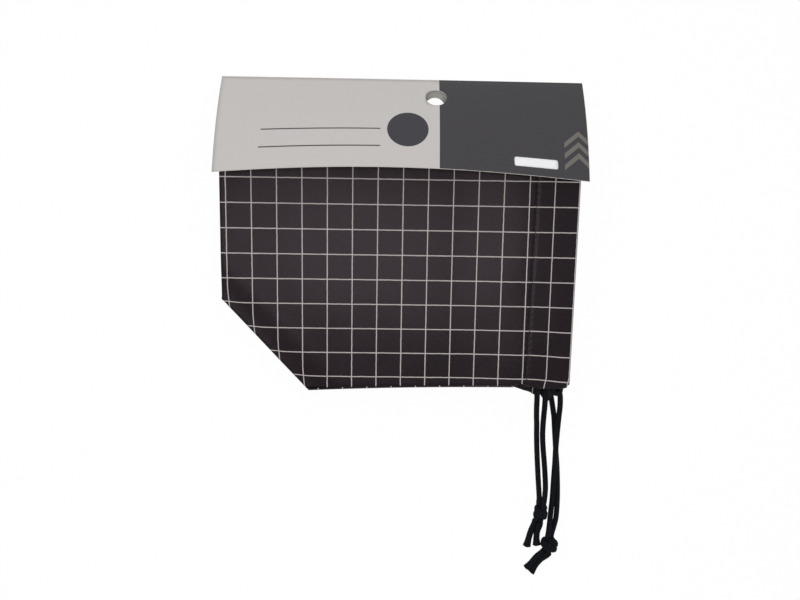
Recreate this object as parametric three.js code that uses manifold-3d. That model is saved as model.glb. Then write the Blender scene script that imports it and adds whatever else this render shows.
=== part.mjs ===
// Drawstring lunch bag of checked cloth, new and flat-packed in a folded header card.
//
// The bag lies on its side, folded in half along its upright centre line, so it has a
// back half on the floor and a front half on top of that. Each half has an outer panel,
// an inner panel, a tucked-in gusset and a side seam, and two drawstrings run through
// the casings at the mouth. Their knotted ends leave the side slits and lie on the floor.
//
// Millimetres. +X points from the base of the bag to its mouth, +Y to the crease of the
// card and +Z up. The origin is on the floor, under the middle of the pack.

import * as THREE from 'three';
import { mergeVertices } from 'three/addons/utils/BufferGeometryUtils.js';
import Module from 'manifold-3d';

const wasm = await Module();
wasm.setup();

// Bag
const bagHeight = 178; // base edge to mouth
const halfWidth = 129.9; // side edge to the axis of the centre fold
const gussetDepth = 87; // bottom of the bag, front to back
const cloth = 0.5; // thickness of the woven cloth
const halfThickness = 4.8; // one folded half, over its two panels
const seamReach = 2.4; // how far the side seam rounds out past the panels
const seamAllowance = 8; // cloth turned inside along the side seam

// Mouth
const casingDepth = 22; // mouth edge to the stitching of the casing
const casingRise = 15; // length over which the layers rise to the casing
const hemTail = 3; // hem left beyond the stitching
const slitLength = 29; // side slit, from the mouth edge

// Drawstrings
const cordDiameter = 2.8;
const cordPitch = 4.25; // between neighbouring cords along the casing's depth
const tunnelSlack = 0.3; // free play of a cord in its tunnel
const bightReach = 3.4; // how far a bight stands out of its slit

// Knots of the drawstrings
const knotEndRadius = 3.1; // flat ends, where two cords come in side by side
const knotLean = 8; // degrees, by which the knots lean towards the base
const knotA = { at: [77.2, -145.9, 3.9], length: 9.6, radius: 3.7 };
const knotB = { at: [82.5, -163.9, 4.35], length: 8, radius: 4.2 };

// Header card
const cardWidth = 179.2;
const cardThickness = 0.4;
const flapLength = 55; // crease to free edge, on both flaps
const flapSlopeBase = 28.5; // degrees, mean slope of the front flap at the bag's base
const flapSlopeMiddle = 35; // degrees, where the flap bows up
const flapSlopeMouth = 24.8; // degrees, at the bag's mouth
const flapBend = 20; // degrees, by which the flap flattens from crease to free edge
const hangHoleDiameter = 10.4;
const hangHoleFromCrease = 14.4;
const hangHoleX = 16;
const tapeThickness = 0.2;
const tapeLength = 130;
const tapeWidth = 10;
const stickerWidth = 21.2;
const stickerHeight = 5;
const stickerThickness = 0.15;
const stickerFromEnd = 16; // mouth end of the card to the sticker
const stickerFromEdge = 3.8; // free edge of the flap to the sticker

// Clearances between neighbouring pieces
const gap = 0.3;
const stickerGap = 0.15;

// Facets
const cordSides = 8;
const tunnelSteps = 30;
const roundSteps = 12;

// Heights of the layers, from the floor up
const cordRadius = cordDiameter / 2;
const bagFloor = cardThickness + tapeThickness;
const casingThickness = 4 * cloth + 2 * tunnelSlack + gap + cordDiameter;
const crown = (thickness) => bagFloor + 2 * thickness + gap;
const middle = (thickness) => bagFloor + thickness + gap / 2;

// Places along X
const baseX = -cardWidth / 2;
const mouthX = baseX + bagHeight;
const stitchX = mouthX - casingDepth;
const slitX = mouthX - slitLength;
const gussetLeg = gussetDepth / 2;

// The front flap is a shallow arc. The centre fold fits under it at the mouth, where the
// pack is thickest and the flap lowest, and it keeps clear of the hang hole, so that a
// hook goes through both flaps. That sets the fold's distance from the crease.
const bend = THREE.MathUtils.degToRad(flapBend);
const flapArc = flapLength / bend;
const flapFloor = cardThickness + gap;

function foldSetback() {
  const start = THREE.MathUtils.degToRad(flapSlopeMouth) + bend / 2;
  const roundRadius = casingThickness + gap / 2;
  const across = flapArc - roundRadius - 2 * gap;
  const up = middle(casingThickness) - flapFloor + flapArc * Math.cos(start);
  const underFlap = flapArc * Math.sin(start) - Math.sqrt(across ** 2 - up ** 2);
  const pastHole = hangHoleFromCrease + hangHoleDiameter / 2 + gap + roundRadius;
  return Math.max(underFlap, pastHole);
}

// Places along Y
const packDepth = foldSetback() + halfWidth + bightReach;
const creaseY = packDepth / 2;
const foldY = creaseY - foldSetback();
const sideY = foldY - halfWidth;
const panelTopY = foldY - gap;
const panelSideY = sideY + seamReach + gap;

const clothMaterial = new THREE.MeshStandardMaterial({ color: 0x2b272b, roughness: 0.85, metalness: 0 });
const cordMaterial = new THREE.MeshStandardMaterial({ color: 0x151417, roughness: 0.75, metalness: 0 });
const cardMaterial = new THREE.MeshStandardMaterial({ color: 0xa6a29b, roughness: 0.6, metalness: 0 });
const stickerMaterial = new THREE.MeshStandardMaterial({ color: 0xf0f0ee, roughness: 0.5, metalness: 0 });
const tapeMaterial = new THREE.MeshStandardMaterial({ color: 0xe4e2da, roughness: 0.4, metalness: 0 });

// A closed mesh as a solid that can be joined or cut.
function solid(geometry) {
  const bare = geometry.clone();
  bare.deleteAttribute('normal');
  bare.deleteAttribute('uv');
  const merged = mergeVertices(bare, 1e-4);
  const vertProperties = new Float32Array(merged.attributes.position.array);
  const triVerts = new Uint32Array(merged.index.array);
  return new wasm.Manifold(new wasm.Mesh({ numProp: 3, vertProperties, triVerts }));
}

function geometryOf(manifold) {
  const mesh = manifold.getMesh();
  const geometry = new THREE.BufferGeometry();
  geometry.setAttribute('position', new THREE.BufferAttribute(mesh.vertProperties, 3));
  geometry.setIndex(new THREE.BufferAttribute(mesh.triVerts, 1));
  return geometry;
}

// Outline without the points that lie in line with their neighbours.
function withoutStraightPoints(points) {
  const straight = 1e-6;
  return points.filter((point, i) => {
    const before = points[(i + points.length - 1) % points.length];
    const after = points[(i + 1) % points.length];
    return Math.abs(point.clone().sub(before).cross(after.clone().sub(point))) > straight;
  });
}

// Shape drawn in X and Z, extruded towards -Y from the given place.
function extrudeDown(shape, fromY, length) {
  const geometry = new THREE.ExtrudeGeometry(shape, { depth: length, bevelEnabled: false });
  geometry.rotateX(Math.PI / 2);
  geometry.translate(0, fromY, 0);
  return geometry;
}

// Shape drawn in Y and Z, extruded towards +X.
function extrudeAcross(shape, fromX, length) {
  const geometry = new THREE.ExtrudeGeometry(shape, { depth: length, bevelEnabled: false });
  const toYZX = new THREE.Matrix4().makeBasis(
    new THREE.Vector3(0, 1, 0),
    new THREE.Vector3(0, 0, 1),
    new THREE.Vector3(1, 0, 0),
  );
  geometry.applyMatrix4(toYZX);
  geometry.translate(fromX, 0, 0);
  return geometry;
}

// Closed skin over rings of points that lie at rising X and turn anticlockwise seen from +X.
function loft(rings) {
  const count = rings[0].length;
  const positions = rings.flat().flatMap((point) => [point.x, point.y, point.z]);
  const index = [];
  for (let ring = 0; ring < rings.length - 1; ring++) {
    for (let i = 0; i < count; i++) {
      const a = ring * count + i;
      const b = ring * count + ((i + 1) % count);
      index.push(a, b, a + count, b, b + count, a + count);
    }
  }
  const flat = rings[0].map((point) => new THREE.Vector2(point.y, point.z));
  const last = (rings.length - 1) * count;
  for (const [a, b, c] of THREE.ShapeUtils.triangulateShape(flat, [])) {
    index.push(a, c, b);
    index.push(last + a, last + b, last + c);
  }
  const geometry = new THREE.BufferGeometry();
  geometry.setAttribute('position', new THREE.Float32BufferAttribute(positions, 3));
  geometry.setIndex(index);
  return geometry;
}

// A route whose rings lie at its own points, close together only where it turns.
class Route extends THREE.CatmullRomCurve3 {
  getUtoTmapping(u) {
    return u;
  }
}

function tube(points) {
  const corners = [];
  for (let i = 0; i < cordSides; i++) {
    const angle = ((i + 0.5) / cordSides) * 2 * Math.PI;
    corners.push(new THREE.Vector2(Math.cos(angle), Math.sin(angle)).multiplyScalar(cordRadius));
  }
  const path = new Route(points.map((point) => new THREE.Vector3(...point)));
  return new THREE.ExtrudeGeometry(new THREE.Shape(corners), {
    steps: points.length - 1,
    extrudePath: path,
    bevelEnabled: false,
  });
}

function named(name, geometry, material) {
  const mesh = new THREE.Mesh(geometry, material);
  mesh.name = name;
  return mesh;
}

// Cords lie in the tunnels of the outer and inner panels by turns, so that they nest.
const outerCords = [4 * cordPitch, 2 * cordPitch];
const innerCords = [3 * cordPitch, cordPitch];

// Height of a tunnel at a depth from the mouth edge: it swells round each of its cords.
function tunnelHeight(depth, cords) {
  let swell = 0;
  for (const cord of cords) {
    const away = Math.min(Math.abs(depth - cord) / cordPitch, 1);
    swell += (1 + Math.cos(Math.PI * away)) / 2;
  }
  return tunnelSlack + cordDiameter * swell;
}

// A value that eases from the body's to the casing's along X.
function eased(x, body, casing) {
  return THREE.MathUtils.lerp(body, casing, THREE.MathUtils.smoothstep(x, stitchX - casingRise, stitchX));
}

function risingX() {
  const places = [];
  for (let i = 0; i <= roundSteps / 2; i++) {
    places.push(stitchX - casingRise * (1 - i / (roundSteps / 2)));
  }
  return places;
}

// Outline of a panel seen from above: the lower corner at the base is the tucked gusset's
// 45 degree fold, and the casing runs on to the side edge past the end of the side seam.
function panelOutline() {
  const chamferEndX = baseX + gussetLeg - (panelSideY - sideY);
  return new THREE.Shape([
    new THREE.Vector2(baseX, panelTopY),
    new THREE.Vector2(baseX, sideY + gussetLeg),
    new THREE.Vector2(chamferEndX, panelSideY),
    new THREE.Vector2(slitX, panelSideY),
    new THREE.Vector2(slitX, sideY),
    new THREE.Vector2(mouthX, sideY),
    new THREE.Vector2(mouthX, panelTopY),
  ]);
}

function cutToOutline(manifold) {
  const height = 2 * crown(casingThickness);
  const prism = new THREE.ExtrudeGeometry(panelOutline(), { depth: 2 * height, bevelEnabled: false });
  prism.translate(0, 0, -height);
  return geometryOf(manifold.intersect(solid(prism)));
}

// One panel with its casing. The outer face lies at bodyZ and, in the casing, at casingZ,
// and the hem turns in at the mouth towards `inward`, which is +1 or -1 along Z.
function panel(bodyZ, casingZ, inward, cords) {
  const face = (x) => eased(x, bodyZ, casingZ);
  const at = (x, depth) => new THREE.Vector2(x, face(x) + inward * depth);
  const mouthRound = cloth + tunnelSlack / 2;
  const roundX = mouthX - mouthRound;
  const pinchX = stitchX + cloth;
  const rise = risingX();

  const outer = [at(baseX, 0), ...rise.map((x) => at(x, 0))];
  for (let i = 0; i <= roundSteps; i++) {
    const angle = (i / roundSteps - 0.5) * Math.PI;
    const x = roundX + mouthRound * Math.cos(angle);
    outer.push(new THREE.Vector2(x, casingZ + inward * mouthRound * (1 + Math.sin(angle))));
  }
  const tunnelFloor = [];
  const tunnelRoof = [];
  for (let i = 0; i <= tunnelSteps; i++) {
    const x = THREE.MathUtils.lerp(roundX, pinchX, i / tunnelSteps);
    const height = tunnelHeight(mouthX - x, cords);
    tunnelFloor.push(at(x, cloth));
    tunnelRoof.push(at(x, cloth + height));
    if (i > 0) {
      outer.push(at(x, 2 * cloth + height));
    }
  }
  const hemTop = 2 * cloth + tunnelSlack;
  outer.push(at(stitchX - hemTail, hemTop), at(stitchX - hemTail, cloth));
  const inside = rise.filter((x) => x < stitchX - hemTail).reverse();
  outer.push(...inside.map((x) => at(x, cloth)), at(baseX, cloth));

  const sheet = new THREE.Shape(withoutStraightPoints(outer));
  const tunnel = new THREE.Shape(withoutStraightPoints([...tunnelFloor, ...tunnelRoof.reverse()]));
  const length = panelTopY - sideY;
  const bored = extrudeDown(tunnel, panelTopY + cordDiameter, length + 2 * cordDiameter);
  return cutToOutline(solid(extrudeDown(sheet, panelTopY, length)).subtract(solid(bored)));
}

// The bottom of the bag, tucked in as a V that opens at the base edge. It lies between the
// inside faces of the two panels of one half.
function gusset(lowZ, highZ) {
  const creaseX = baseX + gussetLeg - 2 * cloth;
  const midZ = (lowZ + highZ) / 2;
  const shape = new THREE.Shape([
    new THREE.Vector2(baseX, lowZ + gap),
    new THREE.Vector2(creaseX, midZ - cloth),
    new THREE.Vector2(creaseX + cloth, midZ),
    new THREE.Vector2(creaseX, midZ + cloth),
    new THREE.Vector2(baseX, highZ - gap),
    new THREE.Vector2(baseX, highZ - gap - cloth),
    new THREE.Vector2(creaseX - 2 * cloth, midZ),
    new THREE.Vector2(baseX, lowZ + gap + cloth),
  ]);
  return cutToOutline(solid(extrudeDown(shape, panelTopY, panelTopY - sideY)));
}

// Side seam of one half: the cloth rounds from panel to panel, with its allowance inside.
function sideSeam(lowZ, highZ) {
  const midZ = (lowZ + highZ) / 2;
  const rise = (highZ - lowZ) / 2;
  const roundY = sideY + seamReach;
  const arc = (inset, from, to) => {
    const points = [];
    for (let i = 0; i <= roundSteps / 2; i++) {
      const angle = THREE.MathUtils.lerp(from, to, i / (roundSteps / 2));
      const y = roundY + (seamReach - inset) * Math.cos(angle);
      points.push(new THREE.Vector2(y, midZ + (rise - inset) * Math.sin(angle)));
    }
    return points;
  };
  const finAngle = Math.asin(cloth / (rise - cloth));
  const shape = new THREE.Shape([
    ...arc(0, Math.PI / 2, Math.PI),
    ...arc(0, Math.PI, Math.PI * 1.5).slice(1),
    ...arc(cloth, Math.PI * 1.5, Math.PI + finAngle),
    new THREE.Vector2(sideY + seamAllowance, midZ - cloth),
    new THREE.Vector2(sideY + seamAllowance, midZ + cloth),
    ...arc(cloth, Math.PI - finAngle, Math.PI / 2),
  ]);
  const fromX = baseX + gussetLeg + gap;
  return extrudeAcross(shape, fromX, slitX - gap - fromX);
}

// Half round of cloth over the centre fold, from the back half to the front half.
function foldBand(radius) {
  const rings = [baseX, ...risingX(), mouthX].map((x) => {
    const thickness = eased(x, halfThickness, casingThickness);
    const ring = [];
    for (const inset of [0, cloth]) {
      const arc = [];
      for (let i = 0; i <= roundSteps; i++) {
        const angle = (0.5 - i / roundSteps) * Math.PI;
        const reach = radius(thickness) - inset;
        const y = foldY + reach * Math.cos(angle);
        arc.push(new THREE.Vector3(x, y, middle(thickness) + reach * Math.sin(angle)));
      }
      ring.push(...(inset ? arc : arc.reverse()));
    }
    return ring;
  });
  return loft(rings);
}

// Centre heights of the cords in the four tunnels, and their places along X.
const tunnelInset = cloth + tunnelSlack / 2 + cordRadius;
const cordZ = {
  backOuter: bagFloor + tunnelInset,
  backInner: bagFloor + casingThickness - tunnelInset,
  frontInner: bagFloor + casingThickness + gap + tunnelInset,
  frontOuter: crown(casingThickness) - tunnelInset,
};
const cordX = {
  aOuter: mouthX - outerCords[0],
  bOuter: mouthX - outerCords[1],
  aInner: mouthX - innerCords[0],
  bInner: mouthX - innerCords[1],
};

function run(x, z) {
  return tube([[x, panelTopY, z], [x, sideY, z]]);
}

// The cord turns over the centre fold inside the cloth.
function foldTurn(x, lowZ) {
  const midZ = middle(casingThickness);
  const points = [];
  for (let i = 0; i <= roundSteps; i++) {
    const angle = (i / roundSteps - 0.5) * Math.PI;
    const reach = midZ - lowZ;
    points.push([x, foldY + reach * Math.cos(angle), midZ + reach * Math.sin(angle)]);
  }
  return tube(points);
}

// The far side of a drawstring: out of one casing at the slit and back into the other.
function bight(fromX, fromZ, toX, toZ) {
  const reach = bightReach - cordRadius;
  const points = [[fromX, panelTopY, fromZ]];
  for (let i = 0; i <= roundSteps; i++) {
    const angle = (i / roundSteps) * Math.PI;
    const share = (1 - Math.cos(angle)) / 2;
    const x = THREE.MathUtils.lerp(fromX, toX, share);
    points.push([x, sideY - reach * Math.sin(angle), THREE.MathUtils.lerp(fromZ, toZ, share)]);
  }
  points.push([toX, panelTopY, toZ]);
  return tube(points);
}

function knot({ at, length, radius }) {
  const profile = new THREE.SplineCurve([
    new THREE.Vector2(knotEndRadius, -length / 2),
    new THREE.Vector2(radius, -length / 4),
    new THREE.Vector2((radius + knotEndRadius) / 2, 0),
    new THREE.Vector2(radius, length / 4),
    new THREE.Vector2(knotEndRadius, length / 2),
  ]);
  const points = [
    new THREE.Vector2(0, -length / 2),
    ...profile.getPoints(roundSteps),
    new THREE.Vector2(0, length / 2),
  ];
  const lump = new THREE.LatheGeometry(points, 2 * cordSides);
  return lump.rotateZ(THREE.MathUtils.degToRad(-knotLean)).translate(...at);
}

// Routes of the free ends, from the casing's edge to the knot, lying on the floor.
const exitY = sideY - gap;
const strandRoutes = {
  drawstring_a_strand_outer: [
    [cordX.aOuter, exitY, cordZ.frontOuter],
    [71.8, -80.2, 9.9],
    [72.2, -85.5, 8.2],
    [72.9, -91, 5.6],
    [73.8, -97, 3.1],
    [74.3, -103, 1.7],
    [74.8, -110.5, 1.45],
    [75.4, -118, 1.45],
    [76.1, -126, 1.45],
    [76.7, -132.5, 1.7],
    [77, -138.7, 2.9],
    [76.8, -140.7, 2.9],
  ],
  drawstring_a_strand_inner: [
    [cordX.aInner, exitY, cordZ.frontInner],
    [76.4, -80.5, 8.3],
    [76.8, -86, 6.6],
    [77, -92, 4.6],
    [77.1, -98, 3.4],
    [77.3, -104, 2.9],
    [78.2, -111.5, 1.9],
    [79.2, -119, 1.45],
    [80, -127, 1.6],
    [80, -133, 3.4],
    [79.3, -139, 4.9],
    [79, -141, 4.9],
  ],
  drawstring_b_strand_outer: [
    [cordX.bOuter, exitY, cordZ.backOuter],
    [80.7, -80.5, 2.3],
    [82.1, -87, 1.6],
    [83.2, -93, 1.45],
    [83.8, -99, 1.45],
    [84.4, -105, 1.45],
    [85.1, -112, 1.45],
    [85.9, -119, 1.45],
    [86.5, -126, 1.45],
    [87, -134, 1.45],
    [87.2, -142, 1.45],
    [86.9, -150, 1.6],
    [85.7, -154.5, 2.6],
    [84.6, -157.8, 3.4],
    [84.3, -159.8, 3.4],
  ],
  drawstring_b_strand_inner: [
    [cordX.bInner, exitY, cordZ.backInner],
    [85.2, -80.5, 4.2],
    [85.5, -86, 4.2],
    [85.1, -92, 4.4],
    [84.7, -98, 4.6],
    [84.4, -104, 4.65],
    [84.2, -110.5, 4.6],
    [84.2, -117, 4.4],
    [84.2, -124, 3.7],
    [84.2, -131, 3.1],
    [84.2, -138.5, 2.5],
    [83.9, -146, 1.9],
    [83.1, -152.5, 3.5],
    [82.2, -157.5, 5.3],
    [81.9, -159.5, 5.3],
  ],
};
const tailRoutes = {
  drawstring_a_tail_outer: [
    [75.4, -150.8, 2.9],
    [75, -152.8, 2.8],
    [74, -156.4, 1.7],
    [72.9, -160.5, 1.45],
    [71.7, -166.3, 1.45],
  ],
  drawstring_a_tail_inner: [
    [77.6, -151.1, 4.9],
    [77.3, -153.1, 4.8],
    [76.8, -157, 2.7],
    [76.8, -161.3, 1.45],
    [77.1, -165.6, 1.45],
  ],
  drawstring_b_tail_outer: [
    [80.7, -168, 3.4],
    [80.5, -169.2, 3.2],
    [79.3, -170.6, 2.4],
    [77.2, -173.1, 1.5],
    [74.8, -176.2, 1.45],
    [72.3, -179.4, 1.45],
  ],
  drawstring_b_tail_inner: [
    [83.1, -168.3, 5.3],
    [82.9, -169.5, 5.2],
    [81.7, -172.2, 3.5],
    [79.6, -175, 1.6],
    [77.2, -178.1, 1.45],
    [74.6, -181.5, 1.45],
  ],
};

// A point of the front flap: x along the crease, s down from the crease, `out` off its
// underside. The flap bows up between its ends.
function flapPoint(x, s, out) {
  const across = x / (cardWidth / 2);
  const tilt = (flapSlopeMouth - flapSlopeBase) / 2;
  const bow = flapSlopeMiddle - (flapSlopeMouth + flapSlopeBase) / 2;
  const slope = flapSlopeMiddle + tilt * across - bow * across * across;
  const start = THREE.MathUtils.degToRad(slope) + bend / 2;
  const here = start - s / flapArc;
  const y = creaseY - flapArc * (Math.sin(start) - Math.sin(here)) + out * Math.sin(here);
  const z = flapFloor + flapArc * (Math.cos(here) - Math.cos(start)) + out * Math.cos(here);
  return new THREE.Vector3(x, y, z);
}

// A patch of the front flap's curved sheet, between two places along each direction.
function flapPatch([fromX, toX], [fromS, toS], under, thickness, [stepsX, stepsS]) {
  const rings = [];
  for (let i = 0; i <= stepsX; i++) {
    const x = THREE.MathUtils.lerp(fromX, toX, i / stepsX);
    const below = [];
    const above = [];
    for (let j = 0; j <= stepsS; j++) {
      const s = THREE.MathUtils.lerp(fromS, toS, j / stepsS);
      below.push(flapPoint(x, s, under));
      above.push(flapPoint(x, s, under + thickness));
    }
    rings.push([...below.reverse(), ...above]);
  }
  return loft(rings);
}

function hangHole(centre, outward) {
  const drill = new THREE.CylinderGeometry(
    hangHoleDiameter / 2,
    hangHoleDiameter / 2,
    hangHoleDiameter,
    2 * roundSteps,
  );
  const turn = new THREE.Quaternion().setFromUnitVectors(new THREE.Vector3(0, 1, 0), outward);
  return drill.applyQuaternion(turn).translate(centre.x, centre.y, centre.z);
}

function frontFlap() {
  const ends = [-cardWidth / 2, cardWidth / 2];
  const sheet = flapPatch(ends, [0, flapLength], 0, cardThickness, [roundSteps, roundSteps / 2]);
  const centre = flapPoint(hangHoleX, hangHoleFromCrease, 0);
  const outward = flapPoint(hangHoleX, hangHoleFromCrease, 1).sub(centre);
  return geometryOf(solid(sheet).subtract(solid(hangHole(centre, outward))));
}

function backFlap() {
  const sheet = new THREE.BoxGeometry(cardWidth, flapLength, cardThickness);
  sheet.translate(0, creaseY - flapLength / 2, cardThickness / 2);
  const centre = new THREE.Vector3(hangHoleX, creaseY - hangHoleFromCrease, 0);
  return geometryOf(solid(sheet).subtract(solid(hangHole(centre, new THREE.Vector3(0, 0, 1)))));
}

function sticker() {
  const toX = cardWidth / 2 - stickerFromEnd;
  const acrossX = [toX - stickerWidth, toX];
  const toS = flapLength - stickerFromEdge;
  const downS = [toS - stickerHeight, toS];
  return flapPatch(acrossX, downS, cardThickness + stickerGap, stickerThickness, [2, 2]);
}

function tape() {
  const strip = new THREE.BoxGeometry(tapeLength, tapeWidth, tapeThickness);
  const underBagX = (baseX + stitchX) / 2;
  return strip.translate(underBagX, panelTopY - tapeWidth, cardThickness + tapeThickness / 2);
}

// Back half, on the floor
const backTop = bagFloor + halfThickness;
const backHalf = new THREE.Group();
const backInnerCasing = bagFloor + casingThickness;
backHalf.add(named('back_outer_panel', panel(bagFloor, bagFloor, 1, outerCords), clothMaterial));
backHalf.add(named('back_inner_panel', panel(backTop, backInnerCasing, -1, innerCords), clothMaterial));
backHalf.add(named('back_gusset', gusset(bagFloor + cloth, backTop - cloth), clothMaterial));
backHalf.add(named('back_side_seam', sideSeam(0, backTop), clothMaterial));

// Front half, on top of it
const frontFloor = backTop + gap;
const frontTop = crown(halfThickness);
const frontHalf = new THREE.Group();
const frontInnerCasing = backInnerCasing + gap;
const frontInnerPanel = panel(frontFloor, frontInnerCasing, 1, innerCords);
frontHalf.add(named('front_inner_panel', frontInnerPanel, clothMaterial));
const frontOuterPanel = panel(frontTop, crown(casingThickness), -1, outerCords);
frontHalf.add(named('front_outer_panel', frontOuterPanel, clothMaterial));
frontHalf.add(named('front_gusset', gusset(frontFloor + cloth, frontTop - cloth), clothMaterial));
frontHalf.add(named('front_side_seam', sideSeam(frontFloor, frontTop), clothMaterial));

// Centre fold
const centreFold = new THREE.Group();
centreFold.add(named('centre_fold_outer', foldBand((thickness) => thickness + gap / 2), clothMaterial));
centreFold.add(named('centre_fold_inner', foldBand(() => cloth + gap / 2), clothMaterial));

// Drawstring A leaves the front half's slit, and its bight shows at the back half's.
const drawstringA = new THREE.Group();
drawstringA.add(named('drawstring_a_run_outer', run(cordX.aOuter, cordZ.frontOuter), cordMaterial));
drawstringA.add(named('drawstring_a_run_inner', run(cordX.aInner, cordZ.frontInner), cordMaterial));
drawstringA.add(named('drawstring_a_knot', knot(knotA), cordMaterial));
drawstringA.add(named('drawstring_a_turn_outer', foldTurn(cordX.aOuter, cordZ.backOuter), cordMaterial));
drawstringA.add(named('drawstring_a_turn_inner', foldTurn(cordX.aInner, cordZ.backInner), cordMaterial));
const bightA = bight(cordX.aOuter, cordZ.backOuter, cordX.aInner, cordZ.backInner);
drawstringA.add(named('drawstring_a_bight', bightA, cordMaterial));

// Drawstring B leaves the back half's slit, and its bight shows at the front half's.
const drawstringB = new THREE.Group();
drawstringB.add(named('drawstring_b_run_outer', run(cordX.bOuter, cordZ.backOuter), cordMaterial));
drawstringB.add(named('drawstring_b_run_inner', run(cordX.bInner, cordZ.backInner), cordMaterial));
drawstringB.add(named('drawstring_b_knot', knot(knotB), cordMaterial));
drawstringB.add(named('drawstring_b_turn_outer', foldTurn(cordX.bOuter, cordZ.backOuter), cordMaterial));
drawstringB.add(named('drawstring_b_turn_inner', foldTurn(cordX.bInner, cordZ.backInner), cordMaterial));
const bightB = bight(cordX.bOuter, cordZ.frontOuter, cordX.bInner, cordZ.frontInner);
drawstringB.add(named('drawstring_b_bight', bightB, cordMaterial));

for (const [name, route] of Object.entries({ ...strandRoutes, ...tailRoutes })) {
  const drawstring = name.startsWith('drawstring_a') ? drawstringA : drawstringB;
  drawstring.add(named(name, tube(route), cordMaterial));
}

// Header card
const headerCard = new THREE.Group();
headerCard.add(named('card_front_flap', frontFlap(), cardMaterial));
headerCard.add(named('card_back_flap', backFlap(), cardMaterial));
headerCard.add(named('card_sticker', sticker(), stickerMaterial));
headerCard.add(named('card_tape', tape(), tapeMaterial));

const bag = new THREE.Group();
bag.add(backHalf, frontHalf, centreFold, drawstringA, drawstringB, headerCard);

export default bag;
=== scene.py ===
# %% [markdown]
# # A drawstring lunch bag, flat-packed in its header card
#
# The bag is new. It lies on its side, folded in half along its upright centre line, and
# the fold is tucked into a folded card. A frame of plain solids gives every piece its
# place, its size and the body that it moves with. This script gives the pieces their
# cloth, cord and card. We work in metres, +X points from the base of the bag to its
# mouth, +Y to the crease of the card and +Z up.

# %% Load the frame
import math
from dataclasses import dataclass

import bmesh
import bpy
from mathutils import Euler, Matrix, Vector, geometry, noise


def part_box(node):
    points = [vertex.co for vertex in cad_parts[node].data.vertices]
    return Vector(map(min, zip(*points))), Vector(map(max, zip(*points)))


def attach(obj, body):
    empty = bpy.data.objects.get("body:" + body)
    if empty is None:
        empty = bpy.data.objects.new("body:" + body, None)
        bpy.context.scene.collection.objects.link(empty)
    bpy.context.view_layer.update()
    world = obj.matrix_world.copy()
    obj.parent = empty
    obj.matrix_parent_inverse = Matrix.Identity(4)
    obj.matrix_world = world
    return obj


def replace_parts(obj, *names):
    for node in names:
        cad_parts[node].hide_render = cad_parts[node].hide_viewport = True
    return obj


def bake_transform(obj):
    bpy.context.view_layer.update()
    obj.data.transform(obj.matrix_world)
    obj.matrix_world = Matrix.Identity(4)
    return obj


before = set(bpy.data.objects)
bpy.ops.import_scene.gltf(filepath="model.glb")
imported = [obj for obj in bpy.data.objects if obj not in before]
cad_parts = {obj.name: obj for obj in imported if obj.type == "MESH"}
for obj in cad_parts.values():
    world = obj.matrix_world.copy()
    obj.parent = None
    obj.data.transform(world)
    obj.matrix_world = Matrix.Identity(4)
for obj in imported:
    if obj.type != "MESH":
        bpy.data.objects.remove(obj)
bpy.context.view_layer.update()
MM = 0.001
UP, SIDEWAYS = Vector((0, 0, 1)), Vector((0, -1, 0))

# %% [markdown]
# ## Camera
#
# The photograph looks almost straight down, from about 36 cm above the table. The
# sensor width and the lens together give the angle of view, so no shift is needed.

# %% Camera
PHOTO_WIDTH = 800
FOCAL_PIXELS = 700
CAMERA_PLACE = Vector((-7.8, 19.64, 360.5)) * MM
CAMERA_TILT = Euler([math.radians(turn) for turn in (-8.11, -1.14, 0.90)], "XYZ")

lens = bpy.data.cameras.new("camera")
lens.sensor_width = 36
lens.lens = lens.sensor_width * FOCAL_PIXELS / PHOTO_WIDTH
lens.clip_start = 0.01
camera = bpy.data.objects.new("camera", lens)
camera.location = CAMERA_PLACE
camera.rotation_euler = CAMERA_TILT
bpy.context.scene.collection.objects.link(camera)
bpy.context.scene.camera = camera
print("camera: lens", round(lens.lens, 1), "mm")

# %% [markdown]
# ## A path for a cord
#
# A cord follows a few given points. Bezier pieces whose handles point
# along the neighbouring points make one smooth line through them, and walking along that
# line in even steps gives the places of the tube's rings. Each ring is turned just enough
# to follow the line, so the braid doesn't twist.

# %% Smooth path
BEZIER_POINTS = 24  # from one point of a route to the next


def smooth_path(points, step):
    """Evenly spaced points on a smooth line through the given ones."""
    lead_in = points[0] * 2 - points[1]
    lead_out = points[-1] * 2 - points[-2]
    ends = [lead_in, *points, lead_out]
    fine = []
    for before, here, there, after in zip(ends, ends[1:], ends[2:], ends[3:]):
        reach = (there - here).length / 3
        leave = here + (there - before).normalized() * reach
        arrive = there - (after - here).normalized() * reach
        fine += geometry.interpolate_bezier(here, leave, arrive, there, BEZIER_POINTS)[:-1]
    fine.append(points[-1])
    return evenly_spaced(fine, step)


def evenly_spaced(line, step):
    """The line again, with its points about one step apart."""
    spans = [(b - a).length for a, b in zip(line, line[1:])]
    count = max(2, round(sum(spans) / step))
    wanted = [sum(spans) * i / count for i in range(count + 1)]
    spaced, walked, index = [], 0, 0
    for distance in wanted:
        while index < len(spans) - 1 and walked + spans[index] < distance:
            walked += spans[index]
            index += 1
        spaced.append(line[index].lerp(line[index + 1], (distance - walked) / spans[index]))
    return spaced


def length_of(path):
    return sum((b - a).length for a, b in zip(path, path[1:]))


def rings_along(path):
    """A matrix for each point of the path, turned to follow it without twisting."""
    turn = (path[1] - path[0]).to_track_quat("Z", "Y")
    rings = []
    for i, point in enumerate(path):
        ahead = path[min(i + 1, len(path) - 1)] - path[max(i - 1, 0)]
        heading = turn @ UP
        turn = heading.rotation_difference(ahead) @ turn
        rings.append(Matrix.Translation(point) @ turn.to_matrix().to_4x4())
    return rings


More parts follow.
